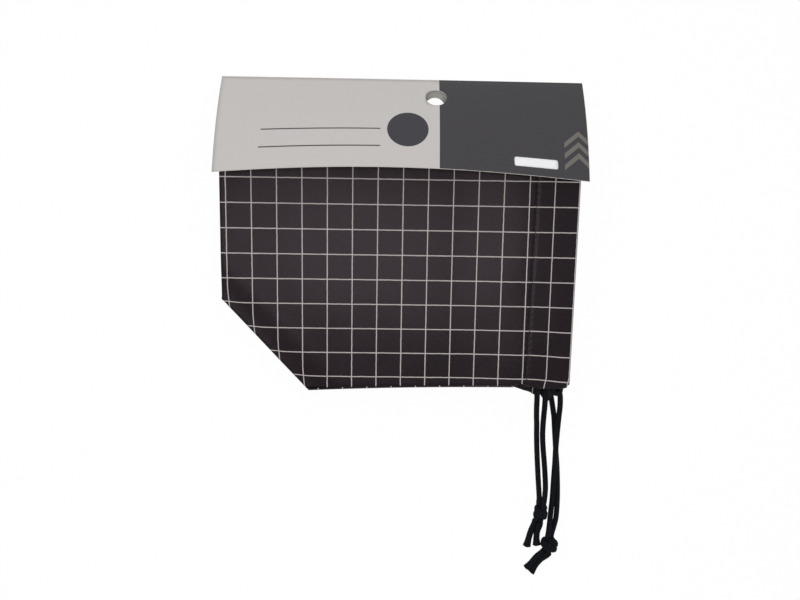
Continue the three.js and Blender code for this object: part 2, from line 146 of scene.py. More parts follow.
# %% [markdown]
# ## Braided cord
#
# The drawstrings are round braid: two families of plaits wind round the cord in opposite
# directions and pass over and under each other. A flat grid is rolled into a tube along the
# path, and each point is lifted by the plait that lies on top there, so the braid is real
# relief and shows on the edge of the cord. The UV map runs round and along the cord.

# %% Braided tube
CORD_RADIUS = 1.43 * MM
CORD_SIDES = 32
RING_STEP = 0.3 * MM
PLAITS = 6
PLAIT_LAY = 9 * MM
PLAIT_RELIEF = 0.11 * MM


def plait_height(angle, along):
    """Height of the braid, 0 to 1, at an angle round the cord and a distance along it."""
    wind = 2 * math.pi * along / PLAIT_LAY
    right = PLAITS * (angle + wind)
    left = PLAITS * (angle - wind)
    crossing = round(right / (2 * math.pi)) + round(left / (2 * math.pi))
    upper, lower = (right, left) if crossing % 2 else (left, right)
    return (0.5 + 0.5 * math.cos(upper)) * (0.75 + 0.25 * math.cos(lower / 2) ** 2)


def braided_tube(shape, path, radius_at, spread):
    """Roll a grid into a braided tube along a path, and widen it along the vector spread."""
    uv = shape.loops.layers.uv.verify()
    rings = rings_along(path)
    last = len(rings) - 1
    length = length_of(path)
    grid = bmesh.ops.create_grid(shape, x_segments=CORD_SIDES, y_segments=last, size=0.5)["verts"]
    for skin in {skin for vert in grid for skin in vert.link_faces}:
        for loop in skin.loops:
            loop[uv].uv = (loop.vert.co.x + 0.5, (loop.vert.co.y + 0.5) * length)
    for vert in grid:
        angle = (vert.co.x + 0.5) * 2 * math.pi
        share = vert.co.y + 0.5
        lift = PLAIT_RELIEF * (plait_height(angle, share * length) - 0.5)
        outward = Vector((math.cos(angle), math.sin(angle), 0))
        ring = rings[round(share * last)]
        reach = ring.to_3x3() @ outward * (radius_at(share) + lift)
        vert.co = ring.translation + reach + spread * reach.dot(spread)
    bmesh.ops.remove_doubles(shape, verts=grid, dist=RING_STEP / 100)
    bmesh.ops.holes_fill(shape, edges=[edge for edge in shape.edges if edge.is_boundary])
    bmesh.ops.recalc_face_normals(shape, faces=shape.faces)


def mesh_piece(name, shape):
    """Make the shape an object of the scene, with smooth shading."""
    mesh = bpy.data.meshes.new(name)
    shape.to_mesh(mesh)
    shape.free()
    mesh.shade_smooth()
    piece = bpy.data.objects.new(name, mesh)
    bpy.context.scene.collection.objects.link(piece)
    return piece


def cord_piece(name, *paths, radius_at=lambda share: CORD_RADIUS, spread=Vector()):
    shape = bmesh.new()
    for path in paths:
        braided_tube(shape, path, radius_at, spread)
    return mesh_piece(name, shape)


# %% [markdown]
# ## Free ends of the drawstrings
#
# Each drawstring leaves a side slit as two strands, drops over the edge of the casing,
# and lies on the table as far as its knot. The routes repeat those of the frame. The
# knots end them, so the far end of each strand is a knot.

# %% Routes of the strands
STRAND_ROUTES = {
    "drawstring_a_strand_outer": [
        (71.4, -76.436, 10.25), (71.8, -80.2, 9.9), (72.2, -85.5, 8.2), (72.9, -91, 5.6),
        (73.8, -97, 3.1), (74.3, -103, 1.7), (74.8, -110.5, 1.45), (75.4, -118, 1.45),
        (76.1, -126, 1.45), (76.7, -132.5, 1.7), (77, -138.7, 2.9), (76.8, -140.7, 2.9),
    ],
    "drawstring_a_strand_inner": [
        (75.65, -76.436, 8.65), (76.4, -80.5, 8.3), (76.8, -86, 6.6), (77, -92, 4.6),
        (77.1, -98, 3.4), (77.3, -104, 2.9), (78.2, -111.5, 1.9), (79.2, -119, 1.45),
        (80, -127, 1.6), (80, -133, 3.4), (79.3, -139, 4.9), (79, -141, 4.9),
    ],
    "drawstring_b_strand_outer": [
        (79.9, -76.436, 2.65), (80.7, -80.5, 2.3), (82.1, -87, 1.6), (83.2, -93, 1.45),
        (83.8, -99, 1.45), (84.4, -105, 1.45), (85.1, -112, 1.45), (85.9, -119, 1.45),
        (86.5, -126, 1.45), (87, -134, 1.45), (87.2, -142, 1.45), (86.9, -150, 1.6),
        (85.7, -154.5, 2.6), (84.6, -157.8, 3.4), (84.3, -159.8, 3.4),
    ],
    "drawstring_b_strand_inner": [
        (84.15, -76.436, 4.25), (85.2, -80.5, 4.2), (85.5, -86, 4.2), (85.1, -92, 4.4),
        (84.7, -98, 4.6), (84.4, -104, 4.65), (84.2, -110.5, 4.6), (84.2, -117, 4.4),
        (84.2, -124, 3.7), (84.2, -131, 3.1), (84.2, -138.5, 2.5), (83.9, -146, 1.9),
        (83.1, -152.5, 3.5), (82.2, -157.5, 5.3), (81.9, -159.5, 5.3),
    ],
}


def route_path(route):
    """The smooth path along a route, whose points are in millimetres."""
    return smooth_path([Vector(point) * MM for point in route], RING_STEP)


def drawstring_of(node):
    """The drawstring that a node's name starts with."""
    return node[:len("drawstring_a")]


strands = {}
strand_paths = {}
for node, route in STRAND_ROUTES.items():
    path = route_path(route)
    strands[node] = cord_piece(node + "_cord", path)
    strand_paths[node] = path
    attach(strands[node], drawstring_of(node))
    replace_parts(strands[node], node)
    print(node, round(length_of(path) / MM, 1), "mm")

# %% [markdown]
# ## Knots
#
# Both strands of a drawstring are tied together in one overhand knot. A strand runs down
# through the core of the knot, comes out below, climbs once round the core and dives back
# through it from above. In cylinder coordinates about the knot's axis that is a steady
# turn, while the height goes down, up and down again. The two strands lie side by side in
# the wrap, which leans, as it does on a knot that was pulled tight. The pull also flattens
# the cord, so the wraps are wider along the knot than they are thick.

# %% Overhand knots
KNOT_CORE = 1.0 * MM
KNOT_CORD_RADIUS = 1.2 * MM
KNOT_LEAN = math.radians(8)
KNOT_DOWN = Vector((-math.sin(KNOT_LEAN), -math.cos(KNOT_LEAN), 0))
KNOT_ACROSS = Vector((math.cos(KNOT_LEAN), -math.sin(KNOT_LEAN), 0))
KNOT_SPREAD = 0.7
KNOT_SHIFT = 0.7 * MM
KNOT_WIDTHS = {"drawstring_a": 7.6 * MM, "drawstring_b": 9.4 * MM}
KNOT_EASE = 1 / 12  # share of the way on which the knot grips the cord
WRAP_LEAN = 0.12
WRAP_STEPS = 7
WRAP_START, WRAP_TURN = 130, 55  # degrees
WRAP_CLIMB = 0.06
WRAP_APART = 0.2


def knot_path(start, finish, centre, width, height, side):
    """One strand's way through the knot, whose axis points along KNOT_DOWN."""
    half = (finish - start).dot(KNOT_DOWN) / 2
    begin = math.atan2(start.z - centre.z, (start - centre).dot(KNOT_ACROSS))
    wide, tall = width / 2 - KNOT_CORD_RADIUS, height / 2 - KNOT_CORD_RADIUS

    def at(along, reach, turn):
        """A place in the knot; a reach of 1 is on the wrap."""
        angle = begin + math.radians(turn)
        out = KNOT_ACROSS * wide * math.cos(angle) + UP * tall * math.sin(angle)
        return centre + KNOT_DOWN * along * half + out * reach

    core = KNOT_CORE / wide
    points = [start, at(-0.5, core, 20), at(0.1, core, 45), at(0.5, 0.75, 85)]
    for i in range(WRAP_STEPS):
        turn = WRAP_START + WRAP_TURN * i
        lean = WRAP_LEAN * math.cos(math.radians(turn) + begin)
        points.append(at(WRAP_CLIMB * (3 - i) + side * WRAP_APART + lean, 1, turn))
    points += [at(-0.55, 0.7, 520), at(-0.25, core, 585), at(0.45, core, 660), finish]
    return smooth_path(points, RING_STEP)


def knot_radius(share):
    """The cord thins where the knot grips it."""
    slack = min(share, 1 - share) / KNOT_EASE
    return KNOT_CORD_RADIUS + (CORD_RADIUS - KNOT_CORD_RADIUS) * max(0, 1 - slack)


TAIL_ROUTES = {
    "drawstring_a_tail_outer": [
        (75.4, -150.8, 2.9), (75, -152.8, 2.8), (74, -156.4, 1.7), (72.9, -160.5, 1.45),
        (71.7, -166.3, 1.45),
    ],
    "drawstring_a_tail_inner": [
        (77.6, -151.1, 4.9), (77.3, -153.1, 4.8), (76.8, -157, 2.7), (76.8, -161.3, 1.45),
        (77.1, -165.6, 1.45),
    ],
    "drawstring_b_tail_outer": [
        (80.7, -168, 3.4), (80.1, -169, 3.2), (78.8, -170.7, 2.4), (77, -173.1, 1.5),
        (74.8, -176.1, 1.45), (72.3, -179.4, 1.45),
    ],
    "drawstring_b_tail_inner": [
        (83.1, -168.3, 5.3), (82.4, -169.5, 5.1), (81, -171.6, 3.6), (79.2, -174.3, 1.8),
        (77, -177.5, 1.45), (74.6, -181.5, 1.45),
    ],
}

knots = {}
for body in ("drawstring_a", "drawstring_b"):
    low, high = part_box(body + "_knot")
    centre = (low + high) / 2 + KNOT_ACROSS * KNOT_SHIFT
    paths = []
    for layer, side in (("outer", -1), ("inner", 1)):
        start = strand_paths[f"{body}_strand_{layer}"][-1]
        finish = Vector(TAIL_ROUTES[f"{body}_tail_{layer}"][0]) * MM
        paths.append(knot_path(start, finish, centre, KNOT_WIDTHS[body], high.z - low.z, side))
    knots[body] = cord_piece(
        body + "_knot_cord", *paths, radius_at=knot_radius, spread=KNOT_DOWN * KNOT_SPREAD
    )
    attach(knots[body], body)
    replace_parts(knots[body], body + "_knot")
    print(body, "knot:", [round(size / MM, 1) for size in knots[body].dimensions], "mm")

# %% [markdown]
# ## Tails
#
# Below the knots the cords are cut off. They lie flattened on the table, and a cut braid
# opens into a small brush, so the last millimetres of each tail flare out to an uneven end.

# %% Tails with flared ends
FLARE_LENGTH = 4.5 * MM
FLARE, FLARE_CURVE = 0.32, 1.6
TAIL_SPREAD = 0.42
FRAY = 0.7 * MM
FRAY_SCALE = 900
TABLE_GAP = 0.05 * MM


def tail_piece(node, route):
    """A flattened tail, whose cut end is flared and frayed."""
    path = route_path(route)
    flare_share = FLARE_LENGTH / length_of(path)

    def radius_at(share):
        opened = max(0, 1 - (1 - share) / flare_share)
        return CORD_RADIUS * (1 + FLARE * opened**FLARE_CURVE)

    across = UP.cross(path[-1] - path[0]).normalized()
    piece = cord_piece(node + "_cord", path, radius_at=radius_at, spread=across * TAIL_SPREAD)
    tip, heading = path[-1], (path[-1] - path[-2]).normalized()
    for vert in piece.data.vertices:
        opened = max(0, 1 - (tip - vert.co).dot(heading) / FLARE_LENGTH)
        vert.co += heading * noise.noise(vert.co * FRAY_SCALE) * FRAY * opened**3
        vert.co.z = max(vert.co.z, TABLE_GAP)
    return piece


tails = {}
for node, route in TAIL_ROUTES.items():
    tails[node] = tail_piece(node, route)
    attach(tails[node], drawstring_of(node))
    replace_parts(tails[node], node)
print("tails:", len(tails))

for node, strand in strands.items():
    path = strand_paths[node]
    body = drawstring_of(node)
print("free cords:", len(strands))

# %% [markdown]
# ## Cords inside the casings
#
# Inside the bag each drawstring runs straight along the casings, turns over the centre
# fold and shows as a short loop, a bight, at the slit on the far side. The runs slide with
# the drawstring. The turns stay as they are laid and ride with neither half.

# %% Runs, turns and bights
ARC_STEPS = 12
BIGHT_REACH = 3.4 * MM  # past the end of the casing
BIGHT_LEAD = 8 * MM


def shares(count):
    """Even steps from 0 to 1."""
    return [i / count for i in range(count + 1)]


def run_path(node):
    """Straight along the casing, from the fold to where the strand leaves it."""
    low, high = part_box(node)
    middle = (low + high) / 2
    exit_y = strand_paths[node.replace("run", "strand")][0].y
    return smooth_path([Vector((middle.x, y, middle.z)) for y in (high.y, middle.y, exit_y)], RING_STEP)


def turn_path(node):
    """Half a round over the centre fold, from the lower casing to the upper one."""
    low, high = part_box(node)
    middle = (low + high) / 2
    reach = (high.z - low.z) / 2 - CORD_RADIUS
    points = []
    for share in shares(ARC_STEPS):
        angle = (share - 0.5) * math.pi
        y = low.y + reach * math.cos(angle)
        points.append(Vector((middle.x, y, middle.z + reach * math.sin(angle))))
    return smooth_path(points, RING_STEP)


def bight_path(node):
    """Out of the outer casing, round in front of the slit, and into the inner one."""
    low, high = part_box(node)
    outer_low = node.startswith("drawstring_a")
    zs = [low.z + CORD_RADIUS, high.z - CORD_RADIUS]
    outer_z, inner_z = zs if outer_low else reversed(zs)
    outer_x, inner_x = low.x + CORD_RADIUS, high.x - CORD_RADIUS
    edge_y = low.y + BIGHT_REACH
    reach = BIGHT_REACH - CORD_RADIUS
    lead_y = edge_y + BIGHT_LEAD
    points = [Vector((outer_x, high.y, outer_z)), Vector((outer_x, lead_y, outer_z))]
    for angle in [share * math.pi for share in shares(ARC_STEPS)]:
        inward = (1 - math.cos(angle)) / 2
        x = outer_x + (inner_x - outer_x) * inward
        z = outer_z + (inner_z - outer_z) * inward
        points.append(Vector((x, edge_y - reach * math.sin(angle), z)))
    points += [Vector((inner_x, lead_y, inner_z)), Vector((inner_x, high.y, inner_z))]
    return smooth_path(points, RING_STEP)


held_cords = []
fold_low, fold_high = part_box("centre_fold_outer")
for body, bight_body in (("drawstring_a", "back_half"), ("drawstring_b", "front_half")):
    for layer in ("outer", "inner"):
        run = f"{body}_run_{layer}"
        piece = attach(cord_piece(run + "_cord", run_path(run)), body)
        held_cords.append(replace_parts(piece, run))
        turn = f"{body}_turn_{layer}"
        piece = cord_piece(turn + "_cord", turn_path(turn))
        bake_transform(piece)
        held_cords.append(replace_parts(piece, turn))
    bight = body + "_bight"
    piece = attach(cord_piece(bight + "_cord", bight_path(bight)), bight_body)
    held_cords.append(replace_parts(piece, bight))
print("cords held by the casings:", len(held_cords))

# %% [markdown]
# ## Sizes of the bag
#
# The bag lies in four layers. The two outer ones are one wall of the bag, bent round the
# centre fold, and the two inner ones are the other wall. Their places come from the frame.
# The side edge isn't quite square to the mouth on the real bag, and the cut-off corner is
# a little steeper than half a right angle, so both are kept as they were measured.

# %% Sizes of the bag
CLOTH = 0.5 * MM
GAP = 0.3 * MM  # between neighbouring solids of the frame
CASING_DEPTH = 22 * MM
CASING_EASE = 40 * MM  # on which the bag rises to its casing
CASING_SHORT = 0.8 * MM  # by which the casing ends inside the side edge
panel_low, panel_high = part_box("front_outer_panel")
front_seam_low, front_seam_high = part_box("front_side_seam")
back_seam_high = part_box("back_side_seam")[1]
BASE_X, SIDE_Y, MOUTH_X = panel_low.x, panel_low.y, panel_high.x
FOLD_Y = fold_low.y
STITCH_X = MOUTH_X - CASING_DEPTH
SLIT_X = front_seam_high.x + GAP
CASING_END_Y = SIDE_Y + CASING_SHORT
CORNER = Vector((-68.6, -54.2)) * MM
CORNER_OUTWARD = Vector((-45.3, -42)).normalized()
CORNER_ALONG = Vector((42, -45.3)).normalized()
CORNER_TIP = Vector((-48.0, -80.1)) * MM  # where it meets the side, drawn out to a point
SIDE_LEAN = 0.0276
SIDE_PIVOT_X = 6 * MM
SIDE_BOW, SIDE_BOW_REACH = 0.62 * MM, 50 * MM
SEAM_BULGE = 2.4 * MM
MOUTH_LEAN = 0.006
MOUTH_PIVOT_Y = 15 * MM


def smoothstep(low, high, value):
    share = min(max((value - low) / (high - low), 0), 1)
    return share * share * (3 - 2 * share)


def mix(low, high, share):
    return low + (high - low) * share


def side_edge(x):
    """Where the side seam bulges furthest, at a distance x along the bag."""
    return SIDE_Y + SIDE_LEAN * (x - SIDE_PIVOT_X) - SIDE_BOW * (x / SIDE_BOW_REACH) ** 2


print("bag:", round((MOUTH_X - BASE_X) / MM, 1), "x", round((FOLD_Y - SIDE_Y) / MM, 1), "mm folded")

# %% [markdown]
# ## Flat cloth
#
# Cloth starts flat, and its check is straight there. So each piece begins as a flat grid,
# with closer lines where the cloth will bend, and the flat place of every point is kept
# as its UV map. Whatever happens to the cloth afterwards, the check goes along with it.

# %% Flat sheets
HAIR = 0.001 * MM


def grid_lines(low, high, step, *fine):
    """Places from low to high, a step apart, and closer in the spans (from, to, step)."""
    lines = [low]
    while lines[-1] < high - HAIR:
        here = lines[-1] + HAIR
        closer = [span[2] for span in fine if span[0] <= here < span[1]]
        starts = [span[0] for span in fine if span[0] > here]
        lines.append(min([lines[-1] + min([step, *closer]), high, *starts]))
    return lines


def flat_sheet(xs, ys):
    """A flat grid whose lines lie at the given places."""
    shape = bmesh.new()
    bmesh.ops.create_grid(shape, x_segments=len(xs) - 1, y_segments=len(ys) - 1, size=0.5)
    for vert in shape.verts:
        column = round((vert.co.x + 0.5) * (len(xs) - 1))
        row = round((vert.co.y + 0.5) * (len(ys) - 1))
        vert.co = (xs[column], ys[row], 0)
    return shape


def slice_sheet(shape, place, across, cut_off=False):
    """Add a straight line of edges to a sheet, or cut off what lies beyond it."""
    bmesh.ops.bisect_plane(
        shape, geom=[*shape.verts, *shape.edges, *shape.faces], plane_co=place, plane_no=across,
        clear_outer=cut_off,
    )


def face_towards(shape, direction):
    """Turn the faces of an open sheet so that most of them look in a direction."""
    shape.normal_update()
    if sum(face.normal.dot(direction) for face in shape.faces) < 0:
        bmesh.ops.reverse_faces(shape, faces=shape.faces)
    return shape


def keep_flat_place(shape, drift=lambda x, y: (x, y)):
    """Write each point's place on the flat cloth, in metres, to the UV map."""
    uv = shape.loops.layers.uv.verify()
    for face in shape.faces:
        for loop in face.loops:
            loop[uv].uv = drift(loop.vert.co.x, loop.vert.co.y)


# %% [markdown]
# ## Edges that roll under
#
# A folded edge of cloth isn't sharp. It rolls over in a small round, which can be wider than
# it is deep, and then goes on underneath. `Roll` says where the outline of the laid bag is, and
# how the cloth beyond it goes round. Where two edges meet, the one further overrun leads.


# %% Rolled edges
@dataclass
class Roll:
    edge: Vector  # a point of the outline
    outward: Vector
    out: float  # radius across the edge
    drop: float  # radius downwards
    turn: float  # degrees
    tail: float = 0  # cloth that goes on under the roll
    sink: float = 0  # gentle drop of the cloth before the roll

    def overrun(self, place):
        return (place - self.edge).dot(self.outward) + self.out

    def length(self):
        return (self.out + self.drop) / 2 * math.radians(self.turn) + self.tail

    def lay(self, overrun):
        """How far out and how far down a point goes that overran the start of the roll."""
        mean, turn = (self.out + self.drop) / 2, math.radians(self.turn)
        angle = min(overrun / mean, turn)
        rest = max(overrun - turn * mean, 0)
        outward = self.out * math.sin(angle) + rest * math.cos(turn)
        return outward, self.drop * (1 - math.cos(angle)) + rest * math.sin(turn)


SINK_REACH = 14 * MM


def sunk_before(place, rolls):
    """How far the cloth has already sunk when it comes near an edge."""
    return sum(roll.sink * smoothstep(-SINK_REACH, 0, roll.overrun(place)) for roll in rolls)


def roll_edges(place, rolls):
    """Where a point of the flat cloth lies once the edges are rolled, and how deep."""
    shift, depth, total = Vector((0, 0)), 0, 0
    for roll in rolls:
        overrun = roll.overrun(place)
        if overrun > 0:
            outward, sunk = roll.lay(overrun)
            weight = overrun**3
            shift += roll.outward * (outward - overrun) * weight
            depth += sunk * weight
            total += weight
    if total:
        return place + shift / total, depth / total
    return place, 0


# %% [markdown]
# ## Casings
#
# At the mouth the cloth is turned in and sewn down 22 mm below, which makes the casing that
# the drawstrings run in. Each wall of the casing swells round two cords, and the cords of
# the two walls lie by turns, so that they nest and the folded bag stays thin.

# %% The mouth and its hem
MOUTH_ROUND = 0.65 * MM
HEM = 24.4 * MM
CORD_PITCH = 4.25 * MM
TUNNEL_HEIGHT = 2.8 * MM
OUTER_CORDS = [4 * CORD_PITCH, 2 * CORD_PITCH]
INNER_CORDS = [3 * CORD_PITCH, CORD_PITCH]
STITCH_LEAN = 0.017
STITCH_PIVOT_Y = -20 * MM
HEM_END_X = MOUTH_X - MOUTH_ROUND + math.pi * MOUTH_ROUND + HEM


def tunnel(depth, cords):
    """Extra height of the casing at a depth below the mouth."""
    rises = [1 + math.cos(math.pi * min(abs(depth - cord) / CORD_PITCH, 1)) for cord in cords]
    return TUNNEL_HEIGHT * sum(rises) / 2


def turn_in_hem(place, depth, cords):
    """Turn the cloth beyond the mouth back under itself."""
    start = MOUTH_X - MOUTH_ROUND
    overrun = place.x - start
    if overrun <= 0:
        return place, depth
    angle = min(overrun / MOUTH_ROUND, math.pi)
    back = max(overrun - math.pi * MOUTH_ROUND, 0)
    x = start + MOUTH_ROUND * math.sin(angle) - back
    sunk = MOUTH_ROUND * (1 - math.cos(angle))
    if back:
        sunk += tunnel(MOUTH_X - x, cords)
    return Vector((x, place.y)), depth + sunk


def stitch_x(y):
    """The row of stitches isn't quite parallel to the mouth."""
    return STITCH_X + STITCH_LEAN * (y - STITCH_PIVOT_Y)


def casing_share(x):
    """0 over the bag, 1 from the row of stitches on."""
    return smoothstep(STITCH_X - CASING_EASE, STITCH_X, x)


def mouth_share(x):
    """0 at the row of stitches, 1 at the mouth."""
    return smoothstep(STITCH_X, MOUTH_X, x)


# %% [markdown]
# ## Panels
#
# All four layers are made by one recipe. A flat sheet gets its edges rolled and its hem
# turned in, and is then laid at its own height, a little higher over the casing.


# %% Recipe of a panel
@dataclass
class Panel:
    node: str
    body: str
    body_z: float  # height of its outer face over the bag
    casing_z: float  # and over the casing
    facing: int  # 1 where the outer face looks up
    cords: list
    rolls: list
    edge: object  # rolls of its side edge at a distance x
    outline: object  # cut edge of its flat cloth at a distance x
    check_shift: float
    step: float

    def height(self, x):
        return mix(self.body_z, self.casing_z, casing_share(x))


# %% [markdown]
# Cloth that was ironed and packed is nearly flat: it waves by a fifth of a millimetre, and
# the row of stitches pulls a shallow furrow with small puckers into it. The tip of the cut-off
# corner is drawn out a little, and the lip below the casing sags.

# %% Lay the cloth
WAVE = 0.22 * MM
WAVES_ALONG, WAVES_ACROSS, WAVES_BY_LAYER = 42, 30, 900
CALM_REACH = 14 * MM
FURROW, FURROW_HALF = 0.4 * MM, 0.7 * MM
PUCKER, PUCKER_HALF = 0.12 * MM, 2.6 * MM
STITCH_PITCH = 3.1 * MM
TIP_PULL, TIP_REACH = 1.6 * MM, 3 * MM
LIP_SAG, LIP_REACH = 2 * MM, 8 * MM


def waves(place, panel):
    """Small unevenness of the laid cloth, fading out towards its edges."""
    to_edge = min(place.x - BASE_X, place.y - SIDE_Y, FOLD_Y - place.y, MOUTH_X - place.x)
    calm = smoothstep(0, CALM_REACH, to_edge)
    seed = Vector((place.x * WAVES_ALONG, place.y * WAVES_ACROSS, panel.body_z * WAVES_BY_LAYER))
    across = place.x - stitch_x(place.y)
    furrow = FURROW * math.exp(-((across / FURROW_HALF) ** 2))
    pucker = PUCKER * math.exp(-((across / PUCKER_HALF) ** 2))
    pucker *= math.cos(2 * math.pi * place.y / STITCH_PITCH)
    return WAVE * noise.noise(seed) * calm + furrow + pucker * calm


def lay(panel, flat):
    """A point of the panel's flat cloth, laid in the bag."""
    rolls = [*panel.rolls, *panel.edge(flat.x)]
    place, depth = roll_edges(flat, rolls)
    depth += sunk_before(flat, rolls)
    to_tip = (place - CORNER_TIP).length
    place = place + CORNER_ALONG * TIP_PULL * math.exp(-((to_tip / TIP_REACH) ** 2))
    if flat.x < MOUTH_X:
        depth += waves(place, panel)
    place, depth = turn_in_hem(place, depth, panel.cords)
    lean = MOUTH_LEAN * (place.y - MOUTH_PIVOT_Y) * mouth_share(place.x)
    sag = LIP_SAG * smoothstep(CASING_END_Y, CASING_END_Y - LIP_REACH, place.y)
    return Vector((place.x + lean, place.y, panel.height(place.x) - panel.facing * depth - sag))


# %% [markdown]
# The side edge is sewn as far as the slit, and hemmed beyond it. The end of the outer casing
# isn't straight, and a lip of the inner one hangs out below it.

# %% Side edges
CASING_END = [
    (59.4, -73.2), (63.2, -72.7), (66.4, -73.8), (71, -75), (80.5, -75.3), (85, -75.1),
    (88.4, -73.2),
]
LIP = [
    (59.4, -75.3), (68.8, -78.3), (70.8, -79.7), (74.5, -79.8), (76.5, -82.6), (79.1, -83.6),
    (80.6, -82), (81.5, -78.9), (86.2, -78.7), (86.5, -76), (88.4, -75.6),
]
SLIT_EASE = 1.5 * MM
SEWN_ROLL = (1.2 * MM, 0.8 * MM, 100)  # out, drop and turn
HEMMED_ROLL = (0.55 * MM, 0.55 * MM, 180)
SEAM_COVER = 1.3 * MM
HEM_TURN = 3.6 * MM
HEM_INSET = 0.6 * MM
MOUTH_MARGIN = 1 * MM
OUTLINE_REACH = 6 * MM


def along_outline(points, x):
    """Where a line through points in millimetres lies at x, in metres."""
    for (x0, y0), (x1, y1) in zip(points, points[1:]):
        if x <= x1 * MM:
            return mix(y0, y1, max((x / MM - x0) / (x1 - x0), 0)) * MM
    return points[-1][1] * MM


def hemmed_share(x):
    """0 where the side edge is sewn, 1 where it is hemmed, past the slit."""
    return smoothstep(SLIT_X - SLIT_EASE, SLIT_X + SLIT_EASE, x)


def outer_edge(x):
    """Rolled over the side seam as far as the slit, hemmed beyond it."""
    if x > MOUTH_X:
        return []
    share = hemmed_share(x)
    sewn = Vector((0, side_edge(x) + SEAM_COVER))
    hemmed = Vector((0, along_outline(CASING_END, x)))
    sizes = [mix(a, b, share) for a, b in zip(SEWN_ROLL, HEMMED_ROLL)]
    return [Roll(sewn.lerp(hemmed, share), Vector((0, -1)), *sizes)]


def outer_outline(x):
    """The cut edge of an outer panel's flat cloth. The hem's edge lies just inside the casing's."""
    if x > MOUTH_X - MOUTH_MARGIN:
        return along_outline(CASING_END, 2 * MOUTH_X - x) + HEM_INSET
    return mix(side_edge(x), along_outline(CASING_END, x) - HEM_TURN, hemmed_share(x))


def lip_outline(x):
    """The cut edge of the front half's inner panel, with its lip."""
    return side_edge(x) + SEAM_BULGE if x < SLIT_X else along_outline(LIP, x)


def inner_outline(x):
    """The cut edge of the back half's inner panel, level with the casing."""
    return side_edge(x) + SEAM_BULGE if x < SLIT_X else CASING_END_Y


def no_roll(x):
    return []


def outline_rows(shape, outline):
    """Stretch the lowest rows of a flat sheet down or up to an outline."""
    low = min(vert.co.y for vert in shape.verts)
    top = low + OUTLINE_REACH
    for vert in shape.verts:
        if vert.co.y < top:
            vert.co.y = mix(outline(vert.co.x), top, (vert.co.y - low) / (top - low))


# %% The four panels
WEST = Vector((-1, 0))
OUTER_ROLLS = [
    Roll(Vector((BASE_X - 0.4 * MM, 0)), WEST, 1.1 * MM, 1.1 * MM, turn=125, tail=1 * MM),
    Roll(CORNER, CORNER_OUTWARD, 1.3 * MM, 1.3 * MM, turn=110, tail=0.6 * MM, sink=0.8 * MM),
]
INNER_CORNER = CORNER - CORNER_OUTWARD * 0.3 * MM
INNER_ROLLS = [
    Roll(Vector((BASE_X, 0)), WEST, 1.2 * MM, 0.8 * MM, turn=150, tail=0.6 * MM),
    Roll(INNER_CORNER, CORNER_OUTWARD, 1.2 * MM, 0.9 * MM, turn=150, tail=0.6 * MM),
]
LIP_SHIFT = 4.65 * MM  # of the check, on the lip and on the side seams
inner_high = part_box("back_inner_panel")[1]
layer_gap = front_seam_low.z - back_seam_high.z
PANELS = [
    Panel("front_outer_panel", "front_half", front_seam_high.z, panel_high.z, 1, OUTER_CORDS,
          OUTER_ROLLS, outer_edge, outer_outline, check_shift=0, step=1.2 * MM),
    Panel("front_inner_panel", "front_half", front_seam_low.z, inner_high.z + layer_gap, -1, INNER_CORDS,
          INNER_ROLLS, no_roll, lip_outline, check_shift=LIP_SHIFT, step=1.8 * MM),
    Panel("back_inner_panel", "back_half", back_seam_high.z, inner_high.z, 1, INNER_CORDS,
          INNER_ROLLS, no_roll, inner_outline, check_shift=-2.5 * MM, step=1.8 * MM),
    Panel("back_outer_panel", "back_half", fold_low.z, fold_low.z, -1, OUTER_CORDS,
          OUTER_ROLLS, outer_edge, outer_outline, check_shift=1.2 * MM, step=1.5 * MM),
]
print("gap between the halves:", round(layer_gap / MM, 2), "mm")

# %% [markdown]
# It droops a little along the casing, has slipped at the casing's end, and is drawn in at the
# mouth and at the corner. So the flat place drifts by up to two millimetres before it is
# written to the UV map.

# %% Cut and lay the panels
DROOP, DROOP_START_Y, DROOP_REACH = 1.5 * MM, 10 * MM, 80 * MM
SLIP, SLIP_FROM_Y, SLIP_TO_Y, SLIP_EASE = 1.1 * MM, -68 * MM, -76 * MM, 4 * MM
RIM_PULL, CORNER_PULL, PULL_REACH = 0.4 * MM, 1 * MM, 9 * MM
CORNER_LINES = 8
SLIT_BAND, STITCH_BAND, MOUTH_BAND = 1.5 * MM, 2.5 * MM, 1.4 * MM  # where lines are closer
SIDE_BAND, SIDE_STEP = 4.5 * MM, 0.35 * MM


def check_drift(shift):
    def drift(x, y):
        droop = DROOP * mouth_share(x) * (max(DROOP_START_Y - y, 0) / DROOP_REACH) ** 2
        slip = SLIP * smoothstep(SLIP_FROM_Y, SLIP_TO_Y, y) * smoothstep(STITCH_X, STITCH_X + SLIP_EASE, x)
        rim = RIM_PULL * smoothstep(MOUTH_X - PULL_REACH, MOUTH_X - MOUTH_MARGIN, x)
        past_corner = (Vector((x, y)) - CORNER).dot(CORNER_OUTWARD)
        pull = CORNER_OUTWARD * CORNER_PULL * smoothstep(-PULL_REACH, 0, past_corner) ** 2
        return x + shift + slip + rim + pull.x, y + droop + pull.y
    return drift


def thicken(piece, name, thickness):
    """Give a sheet its thickness, inwards from its outer face."""
    wall = piece.modifiers.new(name, "SOLIDIFY")
    wall.thickness = thickness
    wall.offset = -1
    return wall


def finish_cloth(piece, body):
    """Give a sheet the thickness of the cloth, and let it ride on its body."""
    thicken(piece, "cloth", CLOTH)
    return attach(piece, body) if body else piece


